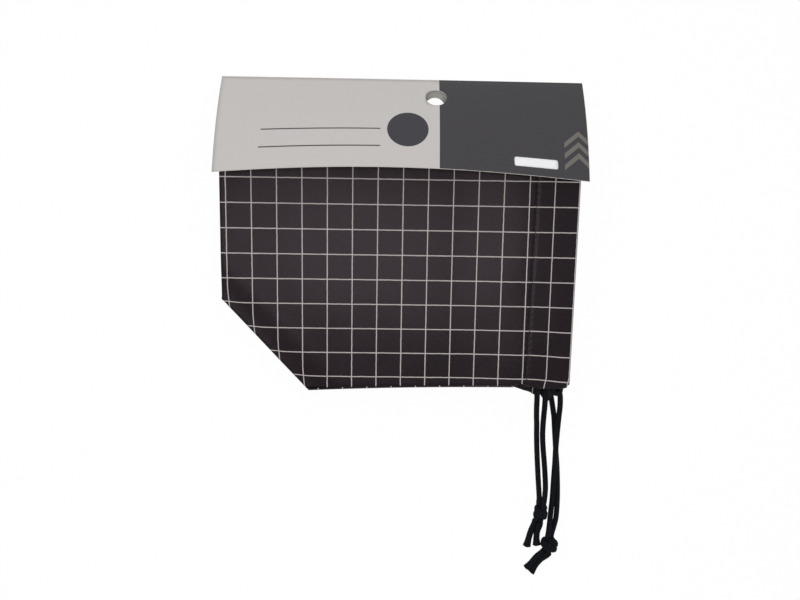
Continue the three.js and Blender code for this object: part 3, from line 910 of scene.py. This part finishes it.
def panel_columns(panel):
    """Lines across the bag, closer at the base, the slit, the stitches and the mouth."""
    base = panel.rolls[0]
    start = base.edge.x + base.out
    mouth_start = MOUTH_X - MOUTH_ROUND
    return grid_lines(
        start - base.length(), HEM_END_X, panel.step,
        (start - base.length(), start, 0.3 * MM),
        (SLIT_X - 0.3 * MM, SLIT_X + SLIT_BAND, 0.3 * MM),
        (STITCH_X - STITCH_BAND, STITCH_X + STITCH_BAND, 0.45 * MM),
        (STITCH_X + STITCH_BAND, mouth_start, 0.8 * MM),
        (mouth_start, MOUTH_X + MOUTH_BAND, 0.2 * MM),
    )


def cut_panel(panel):
    """The flat cloth of a panel, cut to its outline, marked with its check and laid."""
    ys = grid_lines(SIDE_Y, FOLD_Y, panel.step, (SIDE_Y, SIDE_Y + SIDE_BAND, SIDE_STEP))
    shape = flat_sheet(panel_columns(panel), ys)
    outline_rows(shape, panel.outline)
    corner = panel.rolls[1]
    start = corner.edge - corner.outward * corner.out
    for share in shares(CORNER_LINES):
        line = start + corner.outward * (corner.length() * share)
        slice_sheet(shape, (*line, 0), (*corner.outward, 0), cut_off=share == 1)
    keep_flat_place(shape, check_drift(panel.check_shift))
    for vert in shape.verts:
        vert.co = lay(panel, vert.co.xy)
    return face_towards(shape, UP * panel.facing)


panels = {}
for panel in PANELS:
    cloth = mesh_piece(panel.node.replace("panel", "cloth"), cut_panel(panel))
    panels[panel.node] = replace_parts(finish_cloth(cloth, panel.body), panel.node)
    print(cloth.name, len(cloth.data.polygons), "faces")

# %% [markdown]
# ## Centre fold
#
# At the fold the cloth goes round the thickness of the imported bag. It is the same flat
# cloth, wrapped round an axis. The two halves can be opened like a book, but the band rides
# with neither of them.

# %% The folded bands
BAND_STEPS, TUCK_STEPS = 18, 8
TUCK_GRID = 2 * MM


def fold_axis_z(x):
    """Half way up the bag, and half way up the casing."""
    return (PANELS[0].height(x) + fold_low.z) / 2


def folded_band(columns, radius_at, rolls, cords, steps):
    """Cloth wrapped half round the fold's axis."""
    shape = flat_sheet(columns, shares(steps))
    reach = math.pi * radius_at(0)
    keep_flat_place(shape, lambda x, share: (x, FOLD_Y + share * reach))
    for vert in shape.verts:
        angle = vert.co.y * math.pi
        place, depth = roll_edges(Vector((vert.co.x, FOLD_Y)), rolls)
        place, depth = turn_in_hem(place, depth, cords)
        radius = radius_at(place.x) - depth
        across = Vector((0, math.sin(angle), math.cos(angle))) * radius
        vert.co = Vector((place.x, FOLD_Y, fold_axis_z(place.x))) + across
    return shape


def outer_fold_radius(x):
    return PANELS[0].height(x) - fold_axis_z(x)


band = mesh_piece(
    "centre_fold_outer_cloth",
    folded_band(panel_columns(PANELS[0]), outer_fold_radius, OUTER_ROLLS[:1], OUTER_CORDS, BAND_STEPS),
)
inner_columns = grid_lines(BASE_X + TUCK_GRID, MOUTH_X - MOUTH_MARGIN, TUCK_GRID)
inner_radius = layer_gap / 2 + CLOTH
tuck = mesh_piece(
    "centre_fold_inner_cloth",
    folded_band(inner_columns, lambda x: inner_radius, [], INNER_CORDS, TUCK_STEPS),
)
for piece, node in ((band, "centre_fold_outer"), (tuck, "centre_fold_inner")):
    finish_cloth(piece, None)
    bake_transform(piece)
    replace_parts(piece, node)
print("fold:", round(math.pi * outer_fold_radius(0) / MM, 1), "mm of cloth round it")

# %% [markdown]
# ## Side seams and gussets
#
# Between the two walls of each half, the side seam bulges out as a narrow strip, and the
# base is tucked in as a gusset, a sheet folded like a V. The gusset hides inside, and only
# its open end shows between the layers.

# %% Strips and gussets
STRIP_TOP = 62  # degrees
STRIP_ALLOWANCE, STRIP_WIDTH = 3 * MM, 6.5 * MM
STRIP_STEPS, STRIP_GRID = 12, 1.5 * MM
STRIP_LEAD = 0.8 * MM
GUSSET_OPEN = 1.5 * MM
GUSSET_SHORT = 2.5 * MM  # by which it ends inside the corner's outline
GUSSET_STEPS, GUSSET_GRID = 24, 2.5 * MM


def seam_strip(low, high, facing):
    """A strip that bulges out to the side edge."""
    xs = grid_lines(low.x - STRIP_LEAD, SLIT_X, STRIP_GRID)
    shape = flat_sheet(xs, shares(STRIP_STEPS))
    edge = SIDE_Y + STRIP_ALLOWANCE
    keep_flat_place(shape, lambda x, share: (x + LIP_SHIFT, edge - STRIP_WIDTH * share))
    middle, rise = (low.z + high.z) / 2, (high.z - low.z) / 2
    for vert in shape.verts:
        angle = math.radians(mix(STRIP_TOP, -90, 1 - vert.co.y))
        y = side_edge(vert.co.x) + SEAM_BULGE * (1 - math.cos(angle))
        vert.co = (vert.co.x, y, middle + facing * rise * math.sin(angle))
    return face_towards(shape, SIDEWAYS)


def gusset_sheet(low, high):
    """A V whose crease lies deep in the bag, open towards the base."""
    ys = grid_lines(low.y + 2 * MM, high.y - CLOTH, GUSSET_GRID)
    shape = flat_sheet(shares(GUSSET_STEPS), ys)
    middle, spread = (low.z + high.z) / 2, (high.z - low.z) / 2 - CLOTH / 2
    keep_flat_place(shape, lambda share, y: (share * 2 * (high.x - low.x), y))
    for vert in shape.verts:
        side = 2 * vert.co.x - 1
        x = mix(high.x, low.x + GUSSET_OPEN, abs(side))
        vert.co = (x, vert.co.y, middle + spread * math.copysign(abs(side) ** 0.5, side))
    cut = CORNER - CORNER_OUTWARD * GUSSET_SHORT
    slice_sheet(shape, (*cut, 0), (*CORNER_OUTWARD, 0), cut_off=True)
    return shape


strips, gussets = [], []
for half, facing in (("front", 1), ("back", -1)):
    node = half + "_side_seam"
    strip = mesh_piece(node + "_cloth", seam_strip(*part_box(node), facing))
    strips.append(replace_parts(finish_cloth(strip, half + "_half"), node))
    node = half + "_gusset"
    gusset = mesh_piece(node + "_cloth", gusset_sheet(*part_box(node)))
    gussets.append(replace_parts(finish_cloth(gusset, half + "_half"), node))
    gusset.modifiers["cloth"].offset = 0
print("strips and gussets:", len(strips) + len(gussets))

# %% [markdown]
# ## Stitches
#
# The casing is sewn down with one row of black thread. Each stitch is a small dash that is
# pulled into the cloth at both ends. They sit on the laid cloth, so the same function that
# laid the panel places them.

# %% Rows of stitches
STITCH_SIZE = Vector((0.5, 2.3, 0.34)) * MM
ROW_START, ROW_SPARE = 2 * MM, 3 * MM
STITCH_TURN, STITCH_SWAY, SWAY_SCALE = 1.0, 2.5, 900  # the first two in degrees


def stitch_row(panel):
    """One dash of thread after the other, along the row of a laid panel."""
    shape = bmesh.new()
    size = Matrix.Diagonal((*STITCH_SIZE, 1))
    count = int((FOLD_Y - CASING_END_Y - ROW_SPARE) / STITCH_PITCH)
    for i in range(count):
        y = CASING_END_Y + ROW_START + i * STITCH_PITCH
        place = lay(panel, Vector((stitch_x(y), y)))
        sway = STITCH_SWAY * noise.noise((y * SWAY_SCALE, panel.body_z, 0))
        turn = Matrix.Rotation(math.radians(STITCH_TURN + sway), 4, "Z")
        matrix = Matrix.Translation(place) @ turn @ size
        bmesh.ops.create_icosphere(shape, subdivisions=2, radius=0.5, matrix=matrix)
    return shape


rows = {}
for panel in PANELS:
    row = mesh_piece(panel.node.replace("panel", "stitches"), stitch_row(panel))
    rows[panel.node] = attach(row, panel.body)
print("rows of stitches:", len(rows))

# %% [markdown]
# ## Header card
#
# The card is one strip of board, folded along its top and punched with a hole to hang it
# by. It is cut flat: a grid with a square opening, whose edge is extruded inwards on to a
# circle. Then each flap is bent into its place. The front flap lies on the round of the
# centre fold, so it stands off the bag and bows up between its ends.

# %% Cut the card
CARD = 0.4 * MM
HANG_HOLE = Vector((16, 13.9, 0)) * MM
HANG_HOLE_RADIUS = 5.2 * MM
CARD_TRIM = 0.3 * MM
CARD_STEP = 2.5 * MM
HOLE_STEP = 1 * MM
HOLE_REACH, HOLE_MARGIN = 8 * MM, 1.2 * MM
back_flap_low, back_flap_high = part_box("card_back_flap")
CREASE_Y = back_flap_high.y
CARD_HALF = back_flap_high.x - CARD_TRIM
FLAP = back_flap_high.y - back_flap_low.y


def card_blank(start):
    """One flap, flat: x along the crease, y down from it, with the hang hole."""
    near = [(middle - HOLE_REACH, middle + HOLE_REACH, HOLE_STEP) for middle in HANG_HOLE.xy]
    shape = flat_sheet(
        grid_lines(-CARD_HALF, CARD_HALF, CARD_STEP, near[0]), grid_lines(start, FLAP, CARD_STEP, near[1])
    )
    reach = HANG_HOLE_RADIUS + HOLE_MARGIN
    cut = []
    for face in shape.faces:
        away = face.calc_center_median() - HANG_HOLE
        if max(abs(away.x), abs(away.y)) < reach:
            cut.append(face)
    bmesh.ops.delete(shape, geom=cut, context="FACES")
    opening = [
        edge for edge in shape.edges
        if edge.is_boundary and max(abs(n) for n in edge.verts[0].co - HANG_HOLE) < reach + 1.1 * HOLE_STEP
    ]
    grown = bmesh.ops.extrude_edge_only(shape, edges=opening)["geom"]
    for vert in grown:
        if isinstance(vert, bmesh.types.BMVert):
            vert.co = HANG_HOLE + (vert.co - HANG_HOLE).normalized() * HANG_HOLE_RADIUS
    bmesh.ops.recalc_face_normals(shape, faces=shape.faces)
    return shape


# %% [markdown]
# The front flap's cross-section is a shallow arc, steepest at the crease. Its mean slope
# changes along the card: it is highest in the middle, and lower at the mouth than at the
# base of the bag.

# %% Bend the flaps
FLAP_SLOPES = {"base": 28.5, "middle": 35.0, "mouth": 24.8}
FLAP_BEND = math.radians(20)
FLAP_ARC = FLAP / FLAP_BEND
FLAP_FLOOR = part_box("card_front_flap")[0].z
FLAP_START = 1.4 * MM  # where the round of the crease ends
CREASE_STEPS = 10


def flap_start(x):
    """Slope of the front flap at the crease, in radians."""
    across = x / CARD_HALF
    base, middle, mouth = FLAP_SLOPES.values()
    slope = middle + (mouth - base) / 2 * across + ((mouth + base) / 2 - middle) * across**2
    return math.radians(slope) + FLAP_BEND / 2


def on_front_flap(x, down, out=CARD):
    """A point of the front flap, by its place on the flat card and its height off the underside."""
    start = flap_start(x)
    here = start - down / FLAP_ARC
    y = CREASE_Y - FLAP_ARC * (math.sin(start) - math.sin(here)) + out * math.sin(here)
    return Vector((x, y, FLAP_FLOOR + FLAP_ARC * (math.cos(here) - math.cos(start)) + out * math.cos(here)))


def bend_card(shape, place):
    """Take each point from its place on the flat card to its place on a flap."""
    keep_flat_place(shape)
    for vert in shape.verts:
        vert.co = place(vert.co.x, vert.co.y)
    return shape


def finish_card(piece):
    """Board thickness, with a plain inside and a pale cut edge."""
    board = thicken(piece, "board", CARD)
    board.material_offset = 1
    board.material_offset_rim = 2
    return piece


def crease_round(x):
    """The round of the crease at x: its slope at the flap, its centre and its radius."""
    slope = flap_start(x) - FLAP_START / FLAP_ARC
    end = on_front_flap(x, FLAP_START)
    radius = end.z / (1 + math.cos(slope))
    return slope, Vector((x, end.y - radius * math.sin(slope), radius)), radius


def on_back_flap(x, down):
    return Vector((x, crease_round(x)[1].y + FLAP_START - down, 0))


front_flap = face_towards(bend_card(card_blank(FLAP_START), on_front_flap), UP)
front_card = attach(finish_card(mesh_piece("front_flap_card", front_flap)), "card_flap")
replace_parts(front_card, "card_front_flap")

back_flap = face_towards(bend_card(card_blank(FLAP_START), on_back_flap), -UP)
back_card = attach(finish_card(mesh_piece("back_flap_card", back_flap)), "back_half")
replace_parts(back_card, "card_back_flap")

crease = flat_sheet(grid_lines(-CARD_HALF, CARD_HALF, CARD_STEP), shares(CREASE_STEPS))
keep_flat_place(crease, lambda x, share: (x, 0))
for vert in crease.verts:
    slope, centre, radius = crease_round(vert.co.x)
    angle = mix(slope, math.pi, vert.co.y)
    vert.co = centre + Vector((0, math.sin(angle), math.cos(angle))) * radius
face_towards(crease, -SIDEWAYS)
crease_card = finish_card(mesh_piece("crease_card", crease))
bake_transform(crease_card)
print("card:", round(2 * CARD_HALF / MM), "x", round(2 * FLAP / MM), "mm flat")

# %% [markdown]
# ## Sticker
#
# A small blank paper label with round corners sits near the free edge. It is cut as one
# flat face, its corners are bevelled, and it is sliced so that it can follow the flap.

# %% Sticker
sticker_low, sticker_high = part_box("card_sticker")
STICKER = Vector((sticker_high.x - sticker_low.x, 4.6 * MM, 0))
STICKER_MARGIN = 4.2 * MM
STICKER_Y = FLAP - STICKER_MARGIN - STICKER.y / 2
STICKER_PLACE = Vector(((sticker_low.x + sticker_high.x) / 2, STICKER_Y, 0))
STICKER_ROUND = 0.9 * MM
STICKER_THICKNESS = 0.15 * MM
STICKER_SLICES = (12, 4)

label = flat_sheet(
    [STICKER_PLACE.x - STICKER.x / 2, STICKER_PLACE.x + STICKER.x / 2],
    [STICKER_PLACE.y - STICKER.y / 2, STICKER_PLACE.y + STICKER.y / 2],
)
bmesh.ops.bevel(
    label, geom=label.verts, offset=STICKER_ROUND, offset_type="OFFSET", segments=5, profile=0.5,
    affect="VERTICES", material=-1,
)
for axis, count in enumerate(STICKER_SLICES):
    for i in range(1, count):
        line = STICKER_PLACE.copy()
        line[axis] += STICKER[axis] * (i / count - 0.5)
        slice_sheet(label, line, [float(axis == k) for k in range(3)])
bend_card(label, lambda x, down: on_front_flap(x, down, CARD + STICKER_THICKNESS))
face_towards(label, UP)
sticker = mesh_piece("sticker_label", label)
thicken(sticker, "paper", STICKER_THICKNESS)
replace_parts(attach(sticker, "card_flap"), "card_sticker")
print("sticker:", [round(size / MM, 1) for size in sticker.dimensions], "mm")

# %% [markdown]
# ## Nodes for the materials
#
# A few helpers keep the materials short: `put` adds a node, `fill_in` sets its inputs to
# values or links, and `calc` adds one step of arithmetic. A pattern that several materials
# share is a node group.


# %% Node helpers
def fill_in(tree, node, inputs):
    """Set a node's inputs to values, or link them."""
    for name, value in inputs.items():
        if isinstance(value, bpy.types.NodeSocket):
            tree.links.new(value, node.inputs[name])
        else:
            node.inputs[name].default_value = value


def put(tree, kind, inputs=None, **settings):
    """Add a node, set its properties and fill in its inputs."""
    node = tree.nodes.new(kind)
    for name, value in settings.items():
        setattr(node, name, value)
    fill_in(tree, node, inputs or {})
    return node


def calc(tree, operation, *values):
    return put(tree, "ShaderNodeMath", dict(enumerate(values)), operation=operation).outputs[0]


def ramp(tree, value, low, high, start, finish):
    """A smooth step from start to finish while the value goes from low to high."""
    inputs = {"Value": value, "From Min": low, "From Max": high, "To Min": start, "To Max": finish}
    return put(tree, "ShaderNodeMapRange", inputs, interpolation_type="SMOOTHSTEP").outputs["Result"]


def soft_step(tree, value, edge, blur, start=0, finish=1):
    """From start to finish where the value passes an edge."""
    return ramp(tree, value, edge - blur, edge + blur, start, finish)


def split(tree, place):
    return put(tree, "ShaderNodeSeparateXYZ", {0: place}).outputs


def blend_colours(tree, share, low, high, how="MIX"):
    inputs = {0: share, 6: low, 7: high}
    return put(tree, "ShaderNodeMix", inputs, data_type="RGBA", blend_type=how).outputs[2]


def grain(tree, place, scale, detail=2.0):
    inputs = {"Vector": place, "Scale": scale, "Detail": detail}
    return put(tree, "ShaderNodeTexNoise", inputs).outputs["Fac"]


def fibres(tree, place, distortion, detail, scale=900):
    """Fine slanted lines, as on spun thread."""
    inputs = {"Vector": place, "Scale": scale, "Distortion": distortion, "Detail": detail}
    return put(tree, "ShaderNodeTexWave", inputs, bands_direction="DIAGONAL").outputs["Fac"]


def bump(tree, height, distance, strength=1.0):
    inputs = {"Height": height, "Distance": distance, "Strength": strength}
    return put(tree, "ShaderNodeBump", inputs).outputs["Normal"]


# %% Groups, colours and materials
def node_group(name, inputs, outputs):
    """A new group: its tree, its given values and the node that takes its results."""
    tree = bpy.data.node_groups.new(name, "ShaderNodeTree")
    for label, kind in inputs.items():
        tree.interface.new_socket(label, in_out="INPUT", socket_type="NodeSocket" + kind)
    for label, kind in outputs.items():
        tree.interface.new_socket(label, in_out="OUTPUT", socket_type="NodeSocket" + kind)
    return tree, tree.nodes.new("NodeGroupInput").outputs, tree.nodes.new("NodeGroupOutput")


def group(tree, shared, inputs):
    return put(tree, "ShaderNodeGroup", inputs, node_tree=shared).outputs


def paint(*levels):
    """A colour as it is read off a screen, 0 to 255, made linear for the shader."""
    return (*[((level / 255 + 0.055) / 1.055) ** 2.4 for level in levels], 1)


def new_material(name):
    material = bpy.data.materials.new(name)
    material.use_nodes = True
    return material, material.node_tree, material.node_tree.nodes["Principled BSDF"]


# %% [markdown]
# ## Cloth finish
#
# The cloth is plain weave: threads pass over and under each other like a chessboard. Fine
# pale threads are woven in at every 12.5 mm both ways and make the check. Both patterns
# read the flat place of the cloth, so they bend with it.

# %% Check and weave
CHECK = 12.5 * MM
CHECK_PLACE = (0.75 * MM, 4.94 * MM)
LINE_WIDTH = 0.45 * MM
LINE_BLUR = 0.14 * MM
LINE_SWAY = 0.3 * MM
THREAD_PITCH = 0.36 * MM

check, given, result = node_group("check lines", {"Place": "Vector"}, {"Line": "Float"})
sides = split(check, given["Place"])
lines = []
for side, start in zip(sides, CHECK_PLACE):
    sway = grain(check, given["Place"], scale=420)
    uneven = calc(check, "MULTIPLY_ADD", sway, LINE_SWAY, -LINE_SWAY / 2 - start)
    distance = calc(check, "PINGPONG", calc(check, "ADD", side, uneven), CHECK / 2)
    lines.append(soft_step(check, distance, LINE_WIDTH / 2, LINE_BLUR, 1, 0))
fill_in(check, result, {"Line": calc(check, "MAXIMUM", *lines)})

weave, given, result = node_group(
    "plain weave", {"Place": "Vector", "Pitch": "Float"}, {"Height": "Float", "Thread": "Float"}
)
sides = split(weave, given["Place"])
counts = [calc(weave, "DIVIDE", side, given["Pitch"]) for side in sides[:2]]
threads = [calc(weave, "FLOOR", count) for count in counts]
angles = [calc(weave, "MULTIPLY", count, math.pi) for count in counts]
rounds = [calc(weave, "ABSOLUTE", calc(weave, "SINE", angle)) for angle in angles]
over = calc(weave, "FLOORED_MODULO", calc(weave, "ADD", *threads), 2)
height = put(weave, "ShaderNodeMix", {0: over, 2: rounds[0], 3: rounds[1]}).outputs[0]
ends = put(weave, "ShaderNodeCombineXYZ", dict(enumerate(threads))).outputs[0]
shade = put(weave, "ShaderNodeTexWhiteNoise", {"Vector": ends}, noise_dimensions="2D").outputs["Value"]
fill_in(weave, result, {"Height": height, "Thread": shade})
print("groups:", check.name, "and", weave.name)

# %% Cloth
cloth_finish, tree, surface = new_material("black check cloth")
place = put(tree, "ShaderNodeUVMap").outputs[0]
threads = group(tree, weave, {"Place": place, "Pitch": THREAD_PITCH})
line = group(tree, check, {"Place": place})["Line"]
tone = ramp(tree, grain(tree, place, scale=26), 0.35, 0.65, 0, 1)
dark = blend_colours(tree, tone, paint(23, 18, 21), paint(26, 20, 23))
fleck = ramp(tree, threads["Thread"], 0, 1, 0.82, 1.18)
dark = blend_colours(tree, 1.0, dark, fleck, how="MULTIPLY")
# The pale threads are painted darker where the weave is low, between the threads: painted shade in the
# grooves of the weave.
pale = blend_colours(tree, threads["Height"], paint(167, 160, 157), paint(197, 189, 185))
fill_in(tree, surface, {
    "Base Color": blend_colours(tree, line, dark, pale),
    "Roughness": ramp(tree, threads["Height"], 0, 1, 0.25, 0.19),
    "Normal": bump(tree, threads["Height"], 0.06 * MM, 0.2),
    "Specular IOR Level": 0.1,
    "Specular Tint": (1, 0.82, 0.91, 1),
})
for piece in (*panels.values(), band, tuck, *strips, *gussets):
    piece.data.materials.append(cloth_finish)
print("cloth on", len(panels) + len(strips) + len(gussets) + 2, "pieces")

# %% Sewing thread
thread_finish, tree, surface = new_material("black sewing thread")
place = put(tree, "ShaderNodeTexCoord").outputs["Object"]
twist = fibres(tree, place, distortion=1.5, detail=2.0)
fill_in(tree, surface, {
    "Base Color": blend_colours(tree, twist, paint(24, 23, 26), paint(40, 38, 42)),
    "Roughness": 0.6,
    "Normal": bump(tree, twist, 0.04 * MM),
    "Specular IOR Level": 0.3,
})
for row in rows.values():
    row.data.materials.append(thread_finish)
print("thread on", len(rows), "rows")

# %% [markdown]
# ## Cord finish
#
# The relief of the plaits is real, so the cord's finish only adds the fine filaments that
# each plait is made of, and the fuzz that makes it dull.

# %% Cord
CORD_GIRTH = 8.8 * MM

cord_finish, tree, surface = new_material("black braided cord")
place = put(tree, "ShaderNodeUVMap").outputs[0]
sides = split(tree, place)
spread = calc(tree, "MULTIPLY", sides[0], CORD_GIRTH)
spun = put(tree, "ShaderNodeCombineXYZ", {0: spread, 1: sides[1]}).outputs[0]
filaments = fibres(tree, spun, distortion=2.0, detail=1.0)
fuzz = grain(tree, spun, scale=1800)
fill_in(tree, surface, {
    "Base Color": blend_colours(tree, filaments, paint(9, 10, 13), paint(19, 20, 25)),
    "Roughness": ramp(tree, fuzz, 0.3, 0.7, 0.62, 0.8),
    "Normal": bump(tree, calc(tree, "ADD", filaments, fuzz), 0.04 * MM, 0.8),
    "Specular IOR Level": 0.06,
})
for piece in (*strands.values(), *knots.values(), *tails.values(), *held_cords):
    piece.data.materials.append(cord_finish)
print("cord on", len(strands) + len(knots) + len(tails) + len(held_cords), "pieces")

# %% [markdown]
# ## Card finish
#
# The card is offset print on coated board: a warm grey field, a charcoal field, two thin
# rules, a dark disc and three plain chevrons. The drawing uses the flat place on the card,
# and leans a little, as print does that wasn't cut quite square. Board has a fine grain
# under its print, and where a printed edge was cut or rubbed, the pale board shows.

# %% Paper grain
fibre, given, result = node_group(
    "paper grain", {"Place": "Vector", "Scale": "Float"}, {"Height": "Float", "Mottle": "Float"}
)
wide = calc(fibre, "MULTIPLY", given["Scale"], 0.16)
fill_in(fibre, result, {
    "Height": grain(fibre, given["Place"], given["Scale"], detail=3.0),
    "Mottle": grain(fibre, given["Place"], wide),
})


def inside_box(tree, sides, low, high, blur):
    """1 inside a box on the flat card."""
    total = 1.0
    for k in range(2):
        past_low = soft_step(tree, sides[k], low[k], blur)
        before_high = soft_step(tree, sides[k], high[k], blur, 1, 0)
        total = calc(tree, "MULTIPLY", total, calc(tree, "MULTIPLY", past_low, before_high))
    return total


# %% Printed card
PRINT_LEAN = 0.018
SPLIT_X = 17.86 * MM
RULES = [((-66.8, 33.9), (-10.2, 34.55)), ((-67.1, 43.5), (-10.1, 44.15))]
DISC = Vector((2.75, 34.2, 0)) * MM
DISC_RADIUS = 9.8 * MM
CHEVRON = Vector((85.1, 29.9, 0)) * MM  # tip of the uppermost
CHEVRON_LEFT = 77.9 * MM
CHEVRON_FALL = 0.92
CHEVRON_BAND = 2.75 * MM
CHEVRON_STEP = 5.7 * MM
PRINT_BLUR = 0.08 * MM
WORN_EDGE, WORN_BLUR, WORN_SWAY = 0.1 * MM, 0.12 * MM, 0.3 * MM

print_finish, tree, surface = new_material("printed card")
place = put(tree, "ShaderNodeUVMap").outputs[0]
flat = split(tree, place)
paper_grain = group(tree, fibre, {"Place": place, "Scale": 2600.0})
sides = [calc(tree, "MULTIPLY_ADD", flat[1], PRINT_LEAN, flat[0]), flat[1]]
right = soft_step(tree, sides[0], SPLIT_X, PRINT_BLUR)
colour = blend_colours(tree, right, paint(189, 184, 180), paint(62, 60, 63))
for low, high in RULES:
    rule = inside_box(tree, sides, [size * MM for size in low], [size * MM for size in high], PRINT_BLUR)
    colour = blend_colours(tree, rule, colour, paint(70, 70, 74))
printed = put(tree, "ShaderNodeCombineXYZ", dict(enumerate(sides))).outputs[0]
away = put(tree, "ShaderNodeVectorMath", {0: printed, 1: DISC}, operation="DISTANCE").outputs["Value"]
disc = soft_step(tree, away, DISC_RADIUS, PRINT_BLUR, 1, 0)
colour = blend_colours(tree, disc, colour, paint(60, 59, 63))
from_tip = calc(tree, "ABSOLUTE", calc(tree, "SUBTRACT", sides[0], CHEVRON.x))
fall = calc(tree, "MULTIPLY", from_tip, CHEVRON_FALL)
below_tip = calc(tree, "SUBTRACT", calc(tree, "SUBTRACT", sides[1], CHEVRON.y), fall)
for i in range(3):
    low, high = (CHEVRON_LEFT, i * CHEVRON_STEP), (1, i * CHEVRON_STEP + CHEVRON_BAND)
    chevron = inside_box(tree, [sides[0], below_tip], low, high, PRINT_BLUR)
    colour = blend_colours(tree, chevron, colour, paint(108, 103, 98))

# %% Grain and wear of the print
mottle = ramp(tree, paper_grain["Mottle"], 0.3, 0.7, 0.99, 1.01)
colour = blend_colours(tree, 1.0, colour, mottle, how="MULTIPLY")
rub = calc(tree, "MULTIPLY_ADD", grain(tree, place, scale=900), WORN_SWAY, -WORN_SWAY / 2)
middle_part = inside_box(
    tree, [calc(tree, "ADD", side, rub) for side in flat[:2]],
    (-CARD_HALF + WORN_EDGE, -1), (CARD_HALF - WORN_EDGE, FLAP - WORN_EDGE), WORN_BLUR,
)
fill_in(tree, surface, {
    "Base Color": blend_colours(tree, middle_part, paint(206, 201, 192), colour),
    "Roughness": ramp(tree, paper_grain["Mottle"], 0.3, 0.7, 0.5, 0.58),
    "Normal": bump(tree, paper_grain["Height"], 0.015 * MM, 0.5),
    "Specular IOR Level": 0.2,
})
print("nodes of the print:", len(tree.nodes))


# %% Plain board, cut edges, sticker and tape
def paper_finish(name, dark, light, scale, roughness):
    """Unprinted paper, board or film."""
    finish, tree, surface = new_material(name)
    place = put(tree, "ShaderNodeTexCoord").outputs["Object"]
    paper_grain = group(tree, fibre, {"Place": place, "Scale": scale})
    fill_in(tree, surface, {
        "Base Color": blend_colours(tree, paper_grain["Mottle"], dark, light),
        "Roughness": ramp(tree, paper_grain["Height"], 0.3, 0.7, roughness - 0.05, roughness + 0.05),
        "Normal": bump(tree, paper_grain["Height"], 0.02 * MM, 0.6),
    })
    return finish


plain_board = paper_finish("plain board", paint(196, 193, 188), paint(210, 207, 202), 2200.0, 0.85)
board_edge = paper_finish("cut edge of board", paint(204, 200, 190), paint(220, 216, 206), 4000.0, 0.9)
label_paper = paper_finish("label paper", paint(226, 226, 227), paint(236, 236, 237), 3200.0, 0.5)
tape_film = paper_finish("tape film", paint(190, 186, 176), paint(204, 200, 190), 700.0, 0.35)
for piece in (front_card, back_card, crease_card):
    for finish in (print_finish, plain_board, board_edge):
        piece.data.materials.append(finish)
sticker.data.materials.append(label_paper)
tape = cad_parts["card_tape"]
tape.data.materials.clear()
tape.data.materials.append(tape_film)
print("materials:", len(bpy.data.materials))

# %% [markdown]
#
# Each half of the bag is two walls cut from one length of cloth. A flat size is worked out
# for each gusset, and not kept.

# %% Sheets
GUSSET_DEPTH = 43 * MM
for gusset in gussets:
    flat = (2 * GUSSET_DEPTH, FOLD_Y - SIDE_Y)
print("sheets:", len(PANELS) + len(gussets))

# %% [markdown]
# ## Floor and light
#
# The bag lies on a white floor under soft light. The floor is white to the camera and to
# reflections, but it still darkens a little where the bag takes its light away. A small
# soft box hangs overhead, and the gloss of the cloth shows it as a broad pale spot. The
# world fills the rest. Its light comes from above and from behind the crease, so the card,
# which slopes that way, is evenly lit, and a colour comes out about as it was mixed.

# %% Floor
FLOOR_HALF = 3
FLOOR_WHITE = 0.96


def seen_directly(tree):
    """1 for rays from the camera, straight or by way of gloss and glass."""
    ray = put(tree, "ShaderNodeLightPath").outputs
    mirrored = calc(tree, "MAXIMUM", ray["Is Glossy Ray"], ray["Is Transmission Ray"])
    return calc(tree, "MAXIMUM", ray["Is Camera Ray"], mirrored)


stage_floor = bmesh.new()
bmesh.ops.create_grid(stage_floor, x_segments=8, y_segments=8, size=FLOOR_HALF)
floor = mesh_piece("floor", stage_floor)
floor_finish, tree = new_material("white floor")[:2]
tree.nodes.clear()
share = calc(tree, "MULTIPLY", seen_directly(tree), FLOOR_WHITE)
matte = put(tree, "ShaderNodeBsdfDiffuse", {"Color": (0.95, 0.95, 0.95, 1)}).outputs[0]
white = put(tree, "ShaderNodeEmission", {"Color": (1, 1, 1, 1), "Strength": 1.0}).outputs[0]
mixed = put(tree, "ShaderNodeMixShader", {0: share, 1: matte, 2: white}).outputs[0]
put(tree, "ShaderNodeOutputMaterial", {"Surface": mixed})
floor.data.materials.append(floor_finish)
print("floor:", 2 * FLOOR_HALF, "m wide")

# %% World
FILL_FROM = Vector((0, 1, 1)).normalized()
world = bpy.data.worlds.new("studio")
world.use_nodes = True
bpy.context.scene.world = world
tree = world.node_tree
tree.nodes.clear()
direction = put(tree, "ShaderNodeTexCoord").outputs["Generated"]
inputs = {0: direction, 1: FILL_FROM}
along = put(tree, "ShaderNodeVectorMath", inputs, operation="DOT_PRODUCT").outputs["Value"]
inputs = {"Value": along, "To Min": 0.3, "To Max": 1.1}
level = put(tree, "ShaderNodeMapRange", inputs).outputs["Result"]
fill = put(tree, "ShaderNodeBackground", {"Color": (0.97, 0.98, 1, 1), "Strength": level}).outputs[0]
white = put(tree, "ShaderNodeBackground", {"Color": (1, 1, 1, 1), "Strength": 1.0}).outputs[0]
mixed = put(tree, "ShaderNodeMixShader", {0: seen_directly(tree), 1: fill, 2: white}).outputs[0]
put(tree, "ShaderNodeOutputWorld", {"Surface": mixed})

# %% Soft box
lamp = bpy.data.lights.new("soft box", "AREA")
lamp.shape = "RECTANGLE"
lamp.size = 0.36
lamp.size_y = 0.2
lamp.energy = 1.25
overhead = bpy.data.objects.new("soft box", lamp)
overhead.location = (-0.05, -0.045, 0.6)
overhead.visible_camera = False
bpy.context.scene.collection.objects.link(overhead)
bpy.context.scene.view_settings.view_transform = "Standard"
print("light:", lamp.name, lamp.energy, "W")
